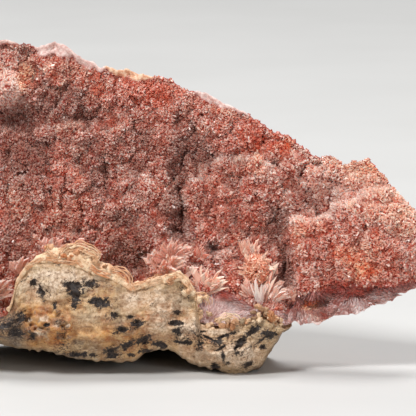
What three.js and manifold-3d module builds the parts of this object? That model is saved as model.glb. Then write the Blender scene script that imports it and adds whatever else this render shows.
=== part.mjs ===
// Inesite specimen: a drusy crust of inesite on a slab of host rock, with a thin mineral rind between.
// The druse looks towards -Y, +X is to its right and +Z is up. Lengths are in millimetres.
// The shapes are drawn in a face frame that leans back with the druse:
// x runs along it, v runs up it, and w runs into the stone, away from the druse.

import * as THREE from "three";
import { mergeVertices } from "three/addons/utils/BufferGeometryUtils.js";
import Module from "manifold-3d";

const wasm = await Module();
wasm.setup();

// ---------------------------------------------------------------- driving dimensions

const LEAN = THREE.MathUtils.degToRad(8); // how far the face frame leans back
const STAND_BACK = 9.9; // from the face frame's origin back to the middle of the resting plane
const GAP = 0.3; // clearance between neighbouring pieces
const PITCH = 2.9; // spacing of the sections along x
const LIP_THICK = 2.2; // thickness of the rock lip in front of the crevice
const RIM_THICK = 1.6; // thickness of the crust along its top rim
const BED_THICK = 3.6; // thickness of the crust along its lower edge
const CORE_THICK = 6.5; // thickness of the crust half way up
const LEFT = -55; // the broken left end
const RIGHT = 55; // the broken right tip
const ROCK_RIGHT = 26; // where the host rock ends under the crust
const LIP_END = 6.5; // where the free lip ends and the rock meets the crust's broken section
const CAP = 0.8; // how far a solid's end point lies beyond its last section
const BELLY = 2.4; // how far the rock's front bulges

// Outlines of the face, each a list of [x, v].
const RIM = [
  [-54.2, 30.7], [-53.4, 40.1], [-51.4, 48.9], [-48.4, 56.1], [-44.8, 61.3], [-40.6, 64.5],
  [-31.6, 66.1], [-27.6, 65.1], [-24, 64.8], [-21, 65.8], [-18.4, 64.5], [-12.2, 60.8],
  [-6.4, 60], [-4, 59], [1.4, 58.5], [5.6, 55.9], [9.6, 55.3], [17.2, 51.5], [22.8, 47.7],
  [25.6, 46.9], [31.2, 42.4], [34.2, 42.3], [37, 40.7], [42, 41.5], [45.2, 37.9], [48.4, 34.3],
  [51.4, 31.1], [53.2, 28.5], [54.8, 22.4],
];
const BED = [
  [-54.2, 27], [-51, 16], [-46, 10.5], [-36, 6.5], [-30, 6], [-25, 15], [-16, 15.5], [-8, 13.5],
  [0, 12.5], [5, 12.6], [6.5, 10.5], [8.2, 9.4], [11.6, 8.6], [16.4, 9.8], [21.2, 10.8], [23.6, 10.2],
  [25, 8.7], [26, 8.9], [27.4, 9.7], [28.4, 8.7], [32, 9.2], [35.6, 10.9], [40, 10.9], [42.8, 12.9],
  [46.8, 13.5], [47.2, 14.9], [51.4, 16.1], [54, 18.5], [54.8, 21.3],
];
const LIP = [
  [-53.6, 21.3], [-50.6, 17.3], [-46.6, 15.7], [-41.6, 13.7], [-36.6, 11.3], [-31.6, 10.3],
  [-29.8, 10.9], [-28.8, 13.7], [-28, 17.3], [-25.8, 20.5], [-24, 21.9], [-21.6, 22.2], [-19.2, 22.1],
  [-16.6, 21.3], [-13.6, 20.1], [-9.2, 18.7], [-5.2, 16.3], [0.4, 17.7], [4.4, 18.5], [5.8, 17.1],
  [7.6, 14.3], [8.4, 9.2], [11.6, 8.1], [16.4, 9.3], [21.2, 10.3], [23.6, 9.7], [25, 8.1],
];
const FOOT = [
  [-54.2, 19], [-52.8, 14], [-50, 9.3], [-45.6, 5.7], [-40.6, 4.7], [-31.6, 5], [-27.6, 4.3],
  [-21.2, 3], [-14, 1.3], [-4.2, 1.5], [-2.4, 3.1], [1.2, 3.7], [3.2, 3.2], [6.4, 1.1], [9.6, 0],
  [14, -1.3], [15.2, -1.6], [17.6, -1.1], [20.8, 0.5], [22.2, 3.1], [24.2, 5.7], [25, 7.3],
];
// The lower edge of the druse, where the broken, fibrous section of the crust shows below it.
const BREAK = [
  [7, 6], [8.6, 15.3], [13.2, 15.6], [17, 13.4], [19, 11.9], [25.5, 11], [27.4, 14.7], [31.2, 15.5],
  [35.4, 16.7], [46.4, 16.7], [51.6, 17.7], [54, 18.9],
];

// Depths along the face, each a list of [x, w].
const BED_DEPTH = [[-54, 4], [-45, 1], [-31, 0], [-26, 2], [5, 2], [8.4, -7.6], [16, -8], [24, -7],
  [28, -5], [40, -4.5], [50, -4], [54.8, -3]];
const MID_DEPTH = [[-54, 2], [-43, 5], [-31, 7], [-8, 8], [4, 7], [16, 4.6], [28, -0.5], [37, -4],
  [46, -5.5], [54.8, -4]];
const RIM_DEPTH = [[-54, 6], [-44, 10], [-31, 13], [-8, 13.5], [4, 12], [16, 9.5], [28, 6], [36, 3],
  [46, -1], [54.8, -2.5]];
const LIP_DEPTH = [[-54, 2], [-50, -3], [-45, -6], [-30, -9.5], [-15, -12], [0, -11], [8, -9.2],
  [18, -9.4], [25, -7.4]];
const ROCK_CREST = [[-54.2, 29], [-52, 36], [-46, 46], [-30, 52], [-6, 47.5], [12, 39], [22, 27], [25.2, 14]];
const ROCK_BACK = [[-54.2, 8], [-50, 18], [-42, 26], [-26, 30], [0, 28], [18, 20], [25.2, 8]];

// Steps in the druse, each sharp along its left and upper edge: [x, v, rise, fade right, fade down].
const LEDGES = [
  [5.8, 38.5, 3, 18, 14], [27.6, 30.3, 3.5, 24, 18], [-7.6, 37.3, 1.6, 8, 8], [-29.2, 37.7, 1.6, 10, 10],
  [-20.2, 48.9, 1.5, 12, 12], [8.4, 49.7, 1.2, 5, 6], [11, 40.5, 0.8, 12, 8], [15.6, 42.7, 0.8, 6, 5],
  [35.4, 32.7, 1.2, 12, 8], [-6, 29.3, 1, 8, 8], [-42, 50, 1.6, 9, 10], [-46, 34, 1.6, 8, 10],
];
const STEEP = [LEDGES[0][0], LEDGES[1][0]]; // where the two main steps stand
// Hollows and lumps, each [x, v, half width, half height, depth]; a lump's depth is negative.
const HOLLOWS = [
  [-28.8, 50.1, 4, 1.8, 3.5], [-15.2, 50.1, 4, 2.4, 2], [4.8, 43.7, 1.6, 5.6, 2], [4.6, 32.7, 1.2, 6, 2.5],
  [4, 27.3, 1.6, 2, 3], [8, 43.7, 2.4, 4, 1.5], [-10.8, 37.7, 1, 5, 1.3], [23.4, 28.7, 2.4, 6, 2.5],
  [25, 18.7, 1.6, 6, 2.5], [28.4, 36.7, 7, 2, 1.5], [-21.4, 35.1, 0.6, 2.8, 1.2], [-8, 20.1, 2.8, 2.8, 2],
  [11.4, 23.7, 2, 1.6, 2.5], [3.6, 49.3, 1.2, 1.6, 1.5], [-38, 42, 3, 6, 2], [-31.2, 56.1, 3.2, 3.2, -4],
  [-1.6, 55.3, 6, 2.4, -1.2], [45.4, 23.7, 6, 7, -1.5], [-36, 28, 5, 5, -1.5],
];
// Fans of blades: [x, v, reach, from angle, to angle, number of blades, share of the reach that comes forward].
const FANS = [
  [1, 17, 7.5, 25, 160, 9, 0.5], [8.4, 14.2, 5.6, 20, 105, 5, 0.35], [20.2, 13, 9, 50, 128, 9, 0.3],
  [23.4, 13, 4.6, 25, 85, 4, 0.3], [-31, 10, 8.5, 35, 140, 9, 0.6], [-21, 21.5, 4, 55, 140, 5, 0.3],
  [-42, 15, 5, 40, 130, 5, 0.5],
];
const CRYSTALS = 84; // coarse crystals that stand out of the druse
// Rounded knobs, each [x, v, w, radius], on the rind and on the rock.
const RIND_KNOBS = [[6.4, 15.2, -10.6, 1.7], [-21.4, 24.2, -11, 0.9]];
const ROCK_KNOBS = [[21.8, 11.6, -9.6, 1.9], [19.6, 10.4, -10.2, 1.3], [-21, 8.4, -10.6, 3], [-24.4, 9.4, -10, 2.4]];
// How far the rind stands above the lip.
const RIND_RISE = [[-30.2, 0.6], [-24, 0.8], [-21, 1.5], [-17, 3.3], [-12, 2.8], [-8, 1.5], [-5.5, 0.9],
  [3, 0.9], [6, 1.4], [9, 0.8]];

// ---------------------------------------------------------------- small helpers

const { clamp, lerp, smoothstep } = THREE.MathUtils;

// Reads a list of [x, value] at x, in straight lines between its points.
function along(table, x) {
  if (x <= table[0][0]) return table[0][1];
  for (let i = 1; i < table.length; i += 1) {
    const [x1, y1] = table[i];
    const [x0, y0] = table[i - 1];
    if (x <= x1) return lerp(y0, y1, (x - x0) / (x1 - x0));
  }
  return table[table.length - 1][1];
}

function hash(i, j, k) {
  const s = Math.sin(i * 127.1 + j * 311.7 + k * 74.7) * 43758.5453;
  return s - Math.floor(s);
}

// Smooth noise from -1 to 1.
function noise(x, y, z) {
  const [i, j, k] = [Math.floor(x), Math.floor(y), Math.floor(z)];
  const [a, b, c] = [x - i, y - j, z - k].map((t) => t * t * (3 - 2 * t));
  const row = (dj, dk) => lerp(hash(i, j + dj, k + dk), hash(i + 1, j + dj, k + dk), a);
  const sheet = (dk) => lerp(row(0, dk), row(1, dk), b);
  return lerp(sheet(0), sheet(1), c) * 2 - 1;
}

// From the leaning face frame to the part's own frame. Nothing reaches below the resting plane.
function place(x, w, v) {
  const y = w * Math.cos(LEAN) + v * Math.sin(LEAN) - STAND_BACK;
  const z = v * Math.cos(LEAN) - w * Math.sin(LEAN);
  return new THREE.Vector3(x, y, Math.max(0, z));
}

function steps(count, low, high) {
  return Array.from({ length: count + 1 }, (_, i) => lerp(low, high, i / count));
}

// ---------------------------------------------------------------- the face's shape

function ledge(x, v, [x0, v0, rise, right, down]) {
  const edge = smoothstep(x, x0 - 0.5, x0 + 0.5) * smoothstep(-v, -v0 - 0.5, -v0 + 0.5);
  return rise * edge * Math.exp(-Math.max(0, x - x0) / right - Math.max(0, v0 - v) / down);
}

// Irregular clumps of crystals, each at its own height.
function clump(x, v) {
  const [i, j] = [Math.floor(x / 3), Math.floor(v / 4)];
  let [best, height] = [Infinity, 0];
  for (let di = -1; di <= 1; di += 1) {
    for (let dj = -1; dj <= 1; dj += 1) {
      const cx = (i + di + hash(i + di, j + dj, 1)) * 3;
      const cv = (j + dj + hash(i + di, j + dj, 2)) * 4;
      const away = Math.hypot(x - cx, (v - cv) * 0.7);
      if (away < best) {
        best = away;
        height = hash(i + di, j + dj, 3) * 1.4 + 0.35 * away;
      }
    }
  }
  return height;
}

// The druse's relief: how far a point lies behind the plain sheet.
function relief(x, v) {
  let depth = clump(x, v) + 0.7 * noise(x / 7, v / 9, 5);
  for (const each of LEDGES) depth -= ledge(x, v, each);
  for (const [x0, v0, rx, rv, deep] of HOLLOWS) {
    depth += deep * Math.exp(-(((x - x0) / rx) ** 2) - ((v - v0) / rv) ** 2);
  }
  return depth;
}

// The plain sheet: a parabola up the face through the depths at its bed, middle and rim.
function sheet(x, v) {
  const [bed, rim] = [along(BED, x), along(RIM, x)];
  const s = clamp((v - bed) / (rim - bed), 0, 1);
  return along(BED_DEPTH, x) * (1 - s) * (1 - 2 * s)
    + along(MID_DEPTH, x) * 4 * s * (1 - s)
    + along(RIM_DEPTH, x) * s * (2 * s - 1);
}

// The druse fades out below its broken edge, where the section steps back.
function front(x, v) {
  const [bed, rim] = [along(BED, x), along(RIM, x)];
  const fade = smoothstep(v, bed, bed + 4) * smoothstep(-v, -rim, 1.5 - rim);
  if (x < BREAK[0][0]) return sheet(x, v) + relief(x, v) * fade;
  const druse = smoothstep(v, along(BREAK, x) - 0.4, along(BREAK, x) + 0.4);
  const section = 1.5 + 0.5 * noise(x / 3, v, 9);
  return sheet(x, v) + lerp(section, relief(x, v), druse) * fade;
}

function back(x, v) {
  const [bed, rim] = [along(BED, x), along(RIM, x)];
  const s = clamp((v - bed) / (rim - bed), 0, 1);
  const thick = lerp(BED_THICK, RIM_THICK, s) + CORE_THICK * Math.sin(Math.PI * s) ** 0.7;
  const ends = Math.min(1, (x - LEFT) / 8, (RIGHT - x) / 14);
  return sheet(x, v) + thick * lerp(0.35, 1, ends) + 0.5 * noise(x / 5, v / 5, 20);
}

// ------------------------------- sections, each a loop of [w, v]: up the front, then down the back

const FACE_ROWS = 19;
const BACK_ROWS = 8;

function crustLoop(x) {
  const [bed, rim] = [along(BED, x), along(RIM, x)];
  const up = steps(FACE_ROWS, bed, rim).map((v) => [front(x, v), v]);
  const down = steps(BACK_ROWS, rim, bed).map((v) => [back(x, v), v]);
  return [...up, ...down];
}

// The room the crust needs in the rock: the crust's back and lower edge, moved out by the gap.
function seatLoop(x) {
  const [bed, rim] = [along(BED, x), along(RIM, x)];
  const up = steps(BACK_ROWS, bed, rim).map((v) => [front(x, v) - GAP, v]);
  const down = steps(BACK_ROWS, rim, bed).map((v) => [back(x, v) + GAP + 0.1, v]);
  const below = bed - GAP - 0.1;
  return [...up, ...down, [back(x, bed) + GAP, below], [front(x, bed) - GAP, below]];
}

function rockLoop(x) {
  const [lip, lipDepth] = [along(LIP, x), along(LIP_DEPTH, x)];
  const [bed, foot] = [along(BED, x), along(FOOT, x)];
  const crest = Math.max(along(ROCK_CREST, x), bed + 1);
  const thick = x < LIP_END ? LIP_THICK : 0.4;
  const rough = (v, row) => 0.7 * noise(x / 4, v / 4, row) + 0.3 * noise(x / 1.7, v / 1.7, row);
  const face = steps(9, 0, 1).map((t) => {
    const v = lerp(foot, lip, t);
    const swell = BELLY * Math.sin(Math.PI * t) ** 0.8 - 4 * (1 - t) ** 3;
    return [lipDepth - swell + rough(v, 30), v];
  });
  const middle = (v) => (front(x, v) + back(x, v)) / 2;
  const crevice = [[lipDepth + thick, lip - 0.3], [middle(bed) - 2, bed - GAP], [middle(bed), bed + 1]];
  const deepest = along(ROCK_BACK, x);
  const start = back(x, crest) + 1.6;
  const rear = steps(8, 1, 0).map((t) => {
    const v = lerp(foot, crest, t);
    const bulge = Math.sin(Math.PI * (1 - t) * 0.62) ** 0.8 / Math.sin(Math.PI * 0.5);
    return [Math.max(start, lerp(start, deepest, bulge)) + rough(v, 40) * (1 - t * t), v - 0.4];
  });
  const under = [0.8, 0.6, 0.4, 0.2].map((t) => [lerp(lipDepth, deepest, t), foot + 0.5 * rough(t * 9, 35)]);
  return [...face, ...crevice, [middle(crest), crest], ...rear, ...under];
}

// Where the sections stand: evenly, and close together at the steepest steps of the druse.
function stations(low, high) {
  const even = steps(Math.round((high - low) / PITCH), low, high);
  const close = STEEP.flatMap((x) => [x - 0.6, x + 0.6]).filter((x) => x > low && x < high);
  const clear = even.filter((x) => close.every((c) => Math.abs(c - x) > 0.6));
  return [...clear, ...close].sort((a, b) => a - b);
}

// A closed solid through sections along x, drawn to a point at each end.
function loft(section, low, high) {
  const xs = stations(low + CAP, high - CAP);
  const loops = xs.map(section);
  const size = loops[0].length;
  const points = loops.flatMap((loop, i) => loop.map(([w, v]) => place(xs[i], w, v)));
  const tip = (loop, x) => {
    const w = loop.reduce((sum, p) => sum + p[0], 0) / size;
    const v = loop.reduce((sum, p) => sum + p[1], 0) / size;
    return place(x, w, v);
  };
  points.push(tip(loops[0], low), tip(loops.at(-1), high));
  const faces = [];
  for (let i = 0; i < loops.length - 1; i += 1) {
    for (let j = 0; j < size; j += 1) {
      const [a, b] = [i * size + j, i * size + ((j + 1) % size)];
      faces.push(a, a + size, b, b, a + size, b + size);
    }
  }
  const last = (loops.length - 1) * size;
  for (let j = 0; j < size; j += 1) {
    const next = (j + 1) % size;
    faces.push(points.length - 2, j, next, points.length - 1, last + next, last + j);
  }
  return new THREE.BufferGeometry().setFromPoints(points).setIndex(faces);
}

// ---------------------------------------------------------------- solids

function solidOf(geometry) {
  geometry.deleteAttribute("normal");
  geometry.deleteAttribute("uv");
  const merged = mergeVertices(geometry, 1e-3);
  return new wasm.Manifold(new wasm.Mesh({
    numProp: 3,
    vertProperties: merged.attributes.position.array,
    triVerts: new Uint32Array(merged.index.array),
  }));
}

function geometryOf(solid) {
  const mesh = solid.getMesh();
  const points = new Float32Array(mesh.numVert * 3);
  for (let i = 0; i < mesh.numVert; i += 1) {
    points.set(mesh.vertProperties.subarray(i * mesh.numProp, i * mesh.numProp + 3), i * 3);
  }
  return new THREE.BufferGeometry()
    .setAttribute("position", new THREE.BufferAttribute(points, 3))
    .setIndex(new THREE.BufferAttribute(new Uint32Array(mesh.triVerts), 1));
}

// A flat-faced blade with a chisel tip, growing along +Y from the origin.
function blade(width, thick, length) {
  const shape = new THREE.Shape([
    new THREE.Vector2(-width / 2, 0),
    new THREE.Vector2(width / 2, 0),
    new THREE.Vector2(width / 2, length * 0.74),
    new THREE.Vector2(-width * 0.3, length),
  ]);
  const geometry = new THREE.ExtrudeGeometry(shape, { depth: thick, bevelEnabled: false });
  return geometry.translate(0, 0, -thick / 2);
}

// Sets a shape that grows along +Y at a point of the face, pointing along a face-frame direction.
function planted(geometry, [x, w, v], [dx, dw, dv], spin) {
  const root = place(x, w, v);
  const aim = place(x + dx, w + dw, v + dv).sub(root).normalize();
  const turn = new THREE.Quaternion().setFromUnitVectors(new THREE.Vector3(0, 1, 0), aim);
  turn.multiply(new THREE.Quaternion().setFromAxisAngle(new THREE.Vector3(0, 1, 0), spin));
  return geometry.applyQuaternion(turn).translate(root.x, root.y, root.z);
}

function fan([x, v, reach, from, to, count, forward], row) {
  return Array.from({ length: count }, (_, i) => {
    const angle = THREE.MathUtils.degToRad(lerp(from, to, i / (count - 1)));
    const long = reach * (0.8 + 0.3 * hash(i, row, 7));
    const lean = forward * (0.6 + 0.8 * hash(i, row, 8));
    const depth = front(x, v) + 0.9;
    const spin = (hash(i, row, 9) - 0.5) * 1.2;
    return planted(
      blade(1.3 + 0.9 * hash(i, row, 10), 0.7, long),
      [x + 0.5 * Math.cos(angle), depth, v],
      [Math.cos(angle), -lean, Math.sin(angle)],
      spin,
    );
  });
}

// Coarse crystals, scattered over the druse and clear of the lip.
function coarseCrystals() {
  const found = [];
  for (let n = 0; found.length < CRYSTALS; n += 1) {
    const x = lerp(LEFT + 6, RIGHT - 5, hash(n, 1, 50));
    const floor = x < LIP_END ? along(LIP, x) + 4 : along(BREAK, x) + 1.5;
    const v = lerp(floor, along(RIM, x) - 1.5, hash(n, 2, 50));
    const size = 0.9 + 0.9 * hash(n, 3, 50);
    const aim = [hash(n, 4, 50) - 0.5, -1, 0.2 + hash(n, 5, 50) - 0.5];
    const root = [x, front(x, v) + 0.8, v];
    found.push(planted(blade(size, size * 0.7, 1.6 + size * 1.4), root, aim, 6 * hash(n, 6, 50)));
  }
  return found;
}

function largest(solid) {
  return solid.decompose().sort((a, b) => b.volume() - a.volume())[0];
}

const WAYS_OUT = [[0, 0, 0], [0, -1, 0], [0, 0, 1]]; // towards the viewer of the druse, and up

// Cuts a solid so that it stays a gap in front of its neighbour and above it.
function clearOf(solid, neighbour) {
  const copies = WAYS_OUT.map((way) => neighbour.translate(way.map((d) => d * (GAP + 0.1))));
  return copies.reduce((left, copy) => left.subtract(copy), solid);
}

function knob([x, v, w, radius]) {
  const at = place(x, w, v);
  return solidOf(new THREE.IcosahedronGeometry(radius, 1).translate(at.x, at.y, at.z));
}

function rockSolid() {
  const body = solidOf(loft(rockLoop, LEFT, ROCK_RIGHT));
  const seat = solidOf(loft(seatLoop, LEFT, RIGHT));
  return largest(wasm.Manifold.union([body, ...ROCK_KNOBS.map(knob)]).subtract(seat));
}

// The crust's sheet with its crystals joined to it, kept clear of the rock.
function crustSolid(rock) {
  const crystals = [...FANS.flatMap(fan), ...coarseCrystals()].map(solidOf);
  const sheetBody = solidOf(loft(crustLoop, LEFT, RIGHT));
  return largest(sheetBody.add(clearOf(wasm.Manifold.union(crystals), rock)));
}

// The rind caps the lip and follows the seam between the rock and the crust.
function rindLoop(x) {
  const rise = along(RIND_RISE, x) * (1 + 0.25 * noise(x / 1.3, 3, 60));
  const [lip, depth] = [along(LIP, x), along(LIP_DEPTH, x)];
  const wide = x < LIP_END ? LIP_THICK : 0.9;
  return [
    [depth - 0.7, lip - 0.7],
    [depth - 0.9, lip + rise * 0.4],
    [depth, lip + rise],
    [depth + wide, lip + rise * 0.9],
    [depth + wide + 0.6, lip + rise * 0.2],
    [depth + wide * 0.5, lip - 1],
  ];
}

function rindSolid(rock, crust) {
  const strip = solidOf(loft(rindLoop, RIND_RISE[0][0], RIND_RISE.at(-1)[0]));
  const whole = wasm.Manifold.union([strip, ...RIND_KNOBS.map(knob)]);
  return largest(clearOf(clearOf(whole, rock), crust));
}

// ---------------------------------------------------------------- the specimen

function piece(name, solid, color, roughness) {
  const material = new THREE.MeshStandardMaterial({ color, roughness, metalness: 0, flatShading: true });
  const mesh = new THREE.Mesh(geometryOf(solid), material);
  mesh.name = name;
  return mesh;
}

const rock = rockSolid();
const crust = crustSolid(rock);

const specimen = new THREE.Group();
specimen.add(
  piece("host_rock", rock, 0xb89a74, 0.85),
  piece("inesite_crust", crust, 0xb0604f, 0.45),
  piece("rind", rindSolid(rock, crust), 0xd9b083, 0.7),
);

export default specimen;
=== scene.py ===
"""Looks of the inesite specimen: a drusy crust of inesite on a slab of host rock, with a thin rind between.

The shapes are worked out in millimetres in a face frame that leans back with the druse:
x runs along it, v runs up it, and w runs into the stone, away from the viewer of the druse.
place() turns that into the metres of the frame. Lists are in millimetres unless they say otherwise.
The last number of noise() and layered(), and the salt of others, only sets one noise apart from another.
"""

import itertools
import math

import bpy
import numpy as np
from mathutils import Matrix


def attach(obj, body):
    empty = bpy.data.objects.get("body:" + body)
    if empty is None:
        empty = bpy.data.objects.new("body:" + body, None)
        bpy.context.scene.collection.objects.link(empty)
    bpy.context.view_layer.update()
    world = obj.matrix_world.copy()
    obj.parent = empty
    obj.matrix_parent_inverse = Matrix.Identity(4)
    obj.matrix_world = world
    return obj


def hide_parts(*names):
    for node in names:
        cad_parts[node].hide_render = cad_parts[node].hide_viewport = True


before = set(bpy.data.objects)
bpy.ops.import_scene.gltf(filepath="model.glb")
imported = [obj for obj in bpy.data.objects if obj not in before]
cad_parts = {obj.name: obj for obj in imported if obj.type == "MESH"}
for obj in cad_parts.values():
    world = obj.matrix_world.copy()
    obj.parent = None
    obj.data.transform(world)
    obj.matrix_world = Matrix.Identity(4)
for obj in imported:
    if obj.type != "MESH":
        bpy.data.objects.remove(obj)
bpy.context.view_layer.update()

# ---------------- driving dimensions

MM = 0.001
LEAN = math.radians(8)  # how far the face frame leans back
STAND_BACK = 9.9  # brings the frame's origin under the specimen
LEFT, RIGHT = -55, 55  # ends of the crust
ROCK_RIGHT = 26  # right end of the rock
LIP_END = 6.5  # where the thick part of the lip ends
LIP_THICK = 2.2
RIM_THICK, BED_THICK, CORE_THICK = 1.6, 3.6, 6.5  # the crust at its rim and its bed, and what its middle adds
BELLY = 2.4  # how far the lip swells out
CAP = 0.8  # length of the rounded ends of a loft
GAP = 0.3  # between the crust's bed and the crevice in the rock
THINNEST = 1.0  # what every hollow leaves of the crust

# Outlines of the face, each a list of (x, v).
RIM = [
    (-54.2, 30.7), (-53.4, 40.1), (-51.4, 48.9), (-48.4, 56.1), (-44.8, 61.3), (-40.6, 64.5),
    (-31.6, 66.1), (-27.6, 65.1), (-24, 64.8), (-21, 65.8), (-18.4, 64.5), (-12.2, 60.8),
    (-6.4, 60), (-4, 59), (1.4, 58.5), (5.6, 55.9), (9.6, 55.3), (17.2, 51.5), (22.8, 47.7),
    (25.6, 46.9), (31.2, 42.4), (34.2, 42.3), (37, 40.7), (42, 41.5), (45.2, 37.9), (48.4, 34.3),
    (51.4, 31.1), (53.2, 28.5), (54.8, 22.4),
]
BED = [
    (-54.2, 27), (-51, 16), (-46, 10.5), (-36, 6.5), (-30, 6), (-25, 15), (-16, 15.5), (-8, 13.5),
    (0, 12.5), (5, 12.6), (6.5, 10.5), (8.2, 9.4), (11.6, 8.6), (16.4, 9.8), (21.2, 10.8), (23.6, 10.2),
    (25, 8.7), (26, 8.9), (27.4, 9.7), (28.4, 8.7), (32, 9.2), (35.6, 10.9), (40, 10.9), (42.8, 12.9),
    (46.8, 13.5), (47.2, 14.9), (51.4, 16.1), (54, 18.5), (54.8, 21.3),
]
LIP = [
    (-53.6, 21.3), (-50.6, 17.3), (-46.6, 15.7), (-41.6, 13.7), (-36.6, 11.3), (-31.6, 10.3),
    (-29.8, 10.9), (-28.8, 13.7), (-28, 17.3), (-25.8, 20.5), (-24, 21.9), (-21.6, 22.2), (-19.2, 22.1),
    (-16.6, 21.3), (-13.6, 20.1), (-9.2, 18.7), (-5.2, 16.3), (0.4, 17.7), (4.4, 18.5), (5.8, 17.1),
    (7.6, 14.3), (8.4, 9.2), (11.6, 8.1), (16.4, 9.3), (21.2, 10.3), (23.6, 9.7), (25, 8.1),
]
FOOT = [
    (-54.2, 19), (-52.8, 14), (-50, 9.3), (-45.6, 5.7), (-40.6, 4.7), (-31.6, 5), (-27.6, 4.3),
    (-21.2, 3), (-14, 1.3), (-4.2, 1.5), (-2.4, 3.1), (1.2, 3.7), (3.2, 3.2), (6.4, 1.1), (9.6, 0),
    (14, -1.3), (15.2, -1.6), (17.6, -1.1), (20.8, 0.5), (22.2, 3.1), (24.2, 5.7), (25, 7.3),
]
BREAK = [
    (7, 6), (8.6, 15.3), (13.2, 15.6), (17, 13.4), (19, 11.9), (25.5, 11), (27.4, 14.7), (31.2, 15.5),
    (35.4, 16.7), (46.4, 16.7), (51.6, 17.7), (54, 18.9),
]

# Depths along the face, each a list of (x, w).
BED_DEPTH = [
    (-54, 4), (-45, 1), (-31, 0), (-26, 2), (5, 2), (8.4, -7.6), (16, -8), (24, -7), (28, -5),
    (40, -4.5), (50, -4), (54.8, -3),
]
MID_DEPTH = [
    (-54, 2), (-43, 5), (-31, 7), (-8, 8), (4, 7), (16, 4.6), (28, -0.5), (37, -4), (46, -5.5), (54.8, -4),
]
RIM_DEPTH = [
    (-54, 6), (-44, 10), (-31, 13), (-8, 13.5), (4, 12), (16, 9.5), (28, 6), (36, 3), (46, -1),
    (54.8, -2.5),
]
LIP_DEPTH = [
    (-54, 2), (-50, -3), (-45, -6), (-30, -9.5), (-15, -12), (0, -11), (8, -9.2), (18, -9.4), (25, -7.4),
]
ROCK_CREST = [(-54.2, 29), (-52, 36), (-46, 46), (-30, 52), (-6, 47.5), (12, 39), (22, 27), (25.2, 14)]
ROCK_BACK = [(-54.2, 8), (-50, 18), (-42, 26), (-26, 30), (0, 28), (18, 20), (25.2, 8)]
RIND_RISE = [
    (-30.2, 0.6), (-24, 0.8), (-21, 1.5), (-17, 3.3), (-12, 2.8), (-8, 1.5), (-5.5, 0.9), (3, 0.9),
    (6, 1.4), (9, 0.8),
]

# Steps in the druse, each sharp along its left and upper edge: (x, v, rise, fade right, fade down).
LEDGES = [
    (5.8, 38.5, 3, 18, 14), (27.6, 30.3, 3.5, 24, 18), (-7.6, 37.3, 1.6, 8, 8), (-29.2, 37.7, 1.6, 10, 10),
    (-20.2, 48.9, 1.5, 12, 12), (8.4, 49.7, 1.2, 5, 6), (11, 40.5, 0.8, 12, 8), (15.6, 42.7, 0.8, 6, 5),
    (35.4, 32.7, 1.2, 12, 8), (-6, 29.3, 1, 8, 8), (-42, 50, 1.6, 9, 10), (-46, 34, 1.6, 8, 10),
]
# Hollows and lumps, each (x, v, half width, half height, depth); a lump's depth is negative.
HOLLOWS = [
    (-28.8, 50.1, 4, 1.8, 2.2), (-15.2, 50.1, 4, 2.4, 1.2), (4.8, 43.7, 1.6, 5.6, 2),
    (4.6, 32.7, 1.2, 6, 1.6), (4, 27.3, 1.6, 2, 2), (8, 43.7, 2.4, 4, 1.5), (-10.8, 37.7, 1, 5, 1.3),
    (23.4, 28.7, 2.4, 6, 2.5), (25, 18.7, 1.6, 6, 2.5), (28.4, 36.7, 7, 2, 1.5),
    (-21.4, 35.1, 0.6, 2.8, 1.2), (-8, 20.1, 2.8, 2.8, 2), (11.4, 23.7, 2, 1.6, 2.5),
    (3.6, 49.3, 1.2, 1.6, 1.5), (-38, 42, 3, 6, 2), (-31.2, 56.1, 3.2, 3.2, -4), (-1.6, 55.3, 6, 2.4, -1.2),
    (45.4, 23.7, 6, 7, -1.5), (-36, 28, 5, 5, -1.5),
]
# Swells that carry the sprays behind the lip, in the same form.
SWELLS = [(2.5, 18.5, 4.5, 4.5, -6), (-21, 21, 4, 4, -4)]

# Pockets and lumps of the broken section, in the same form.
SECTION_FORMS = [
    (33, 13.2, 2.2, 1.1, 1.6), (30, 14.8, 2.6, 0.6, -0.9), (14, 15, 3.6, 1.4, -1.8),
    (38, 15.6, 6, 0.7, -0.8), (36.5, 11.7, 1.6, 1, -0.9), (42.5, 12.2, 2, 1, -1),
    (44.8, 14.2, 1.6, 0.8, -0.6), (31.5, 10.3, 3, 0.8, -0.8), (25.6, 13, 1.4, 1.4, 0.8),
    (39.5, 13.6, 1.6, 0.6, 0.6),
]

# The tops of the two main steps, each a list of (x, v).
STEP_TOPS = [
    [(5.8, 38.3), (11, 38.3), (11.5, 40.7), (13, 41.8), (16, 42.3), (21, 42), (22, 39.8), (23.6, 37.6),
     (26, 35)],
    [(27.4, 30.2), (30.4, 29.4), (32.8, 30.2), (34.4, 31.2), (37.4, 32.8), (41, 34.4), (46, 35.4), (52, 33)],
]
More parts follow.
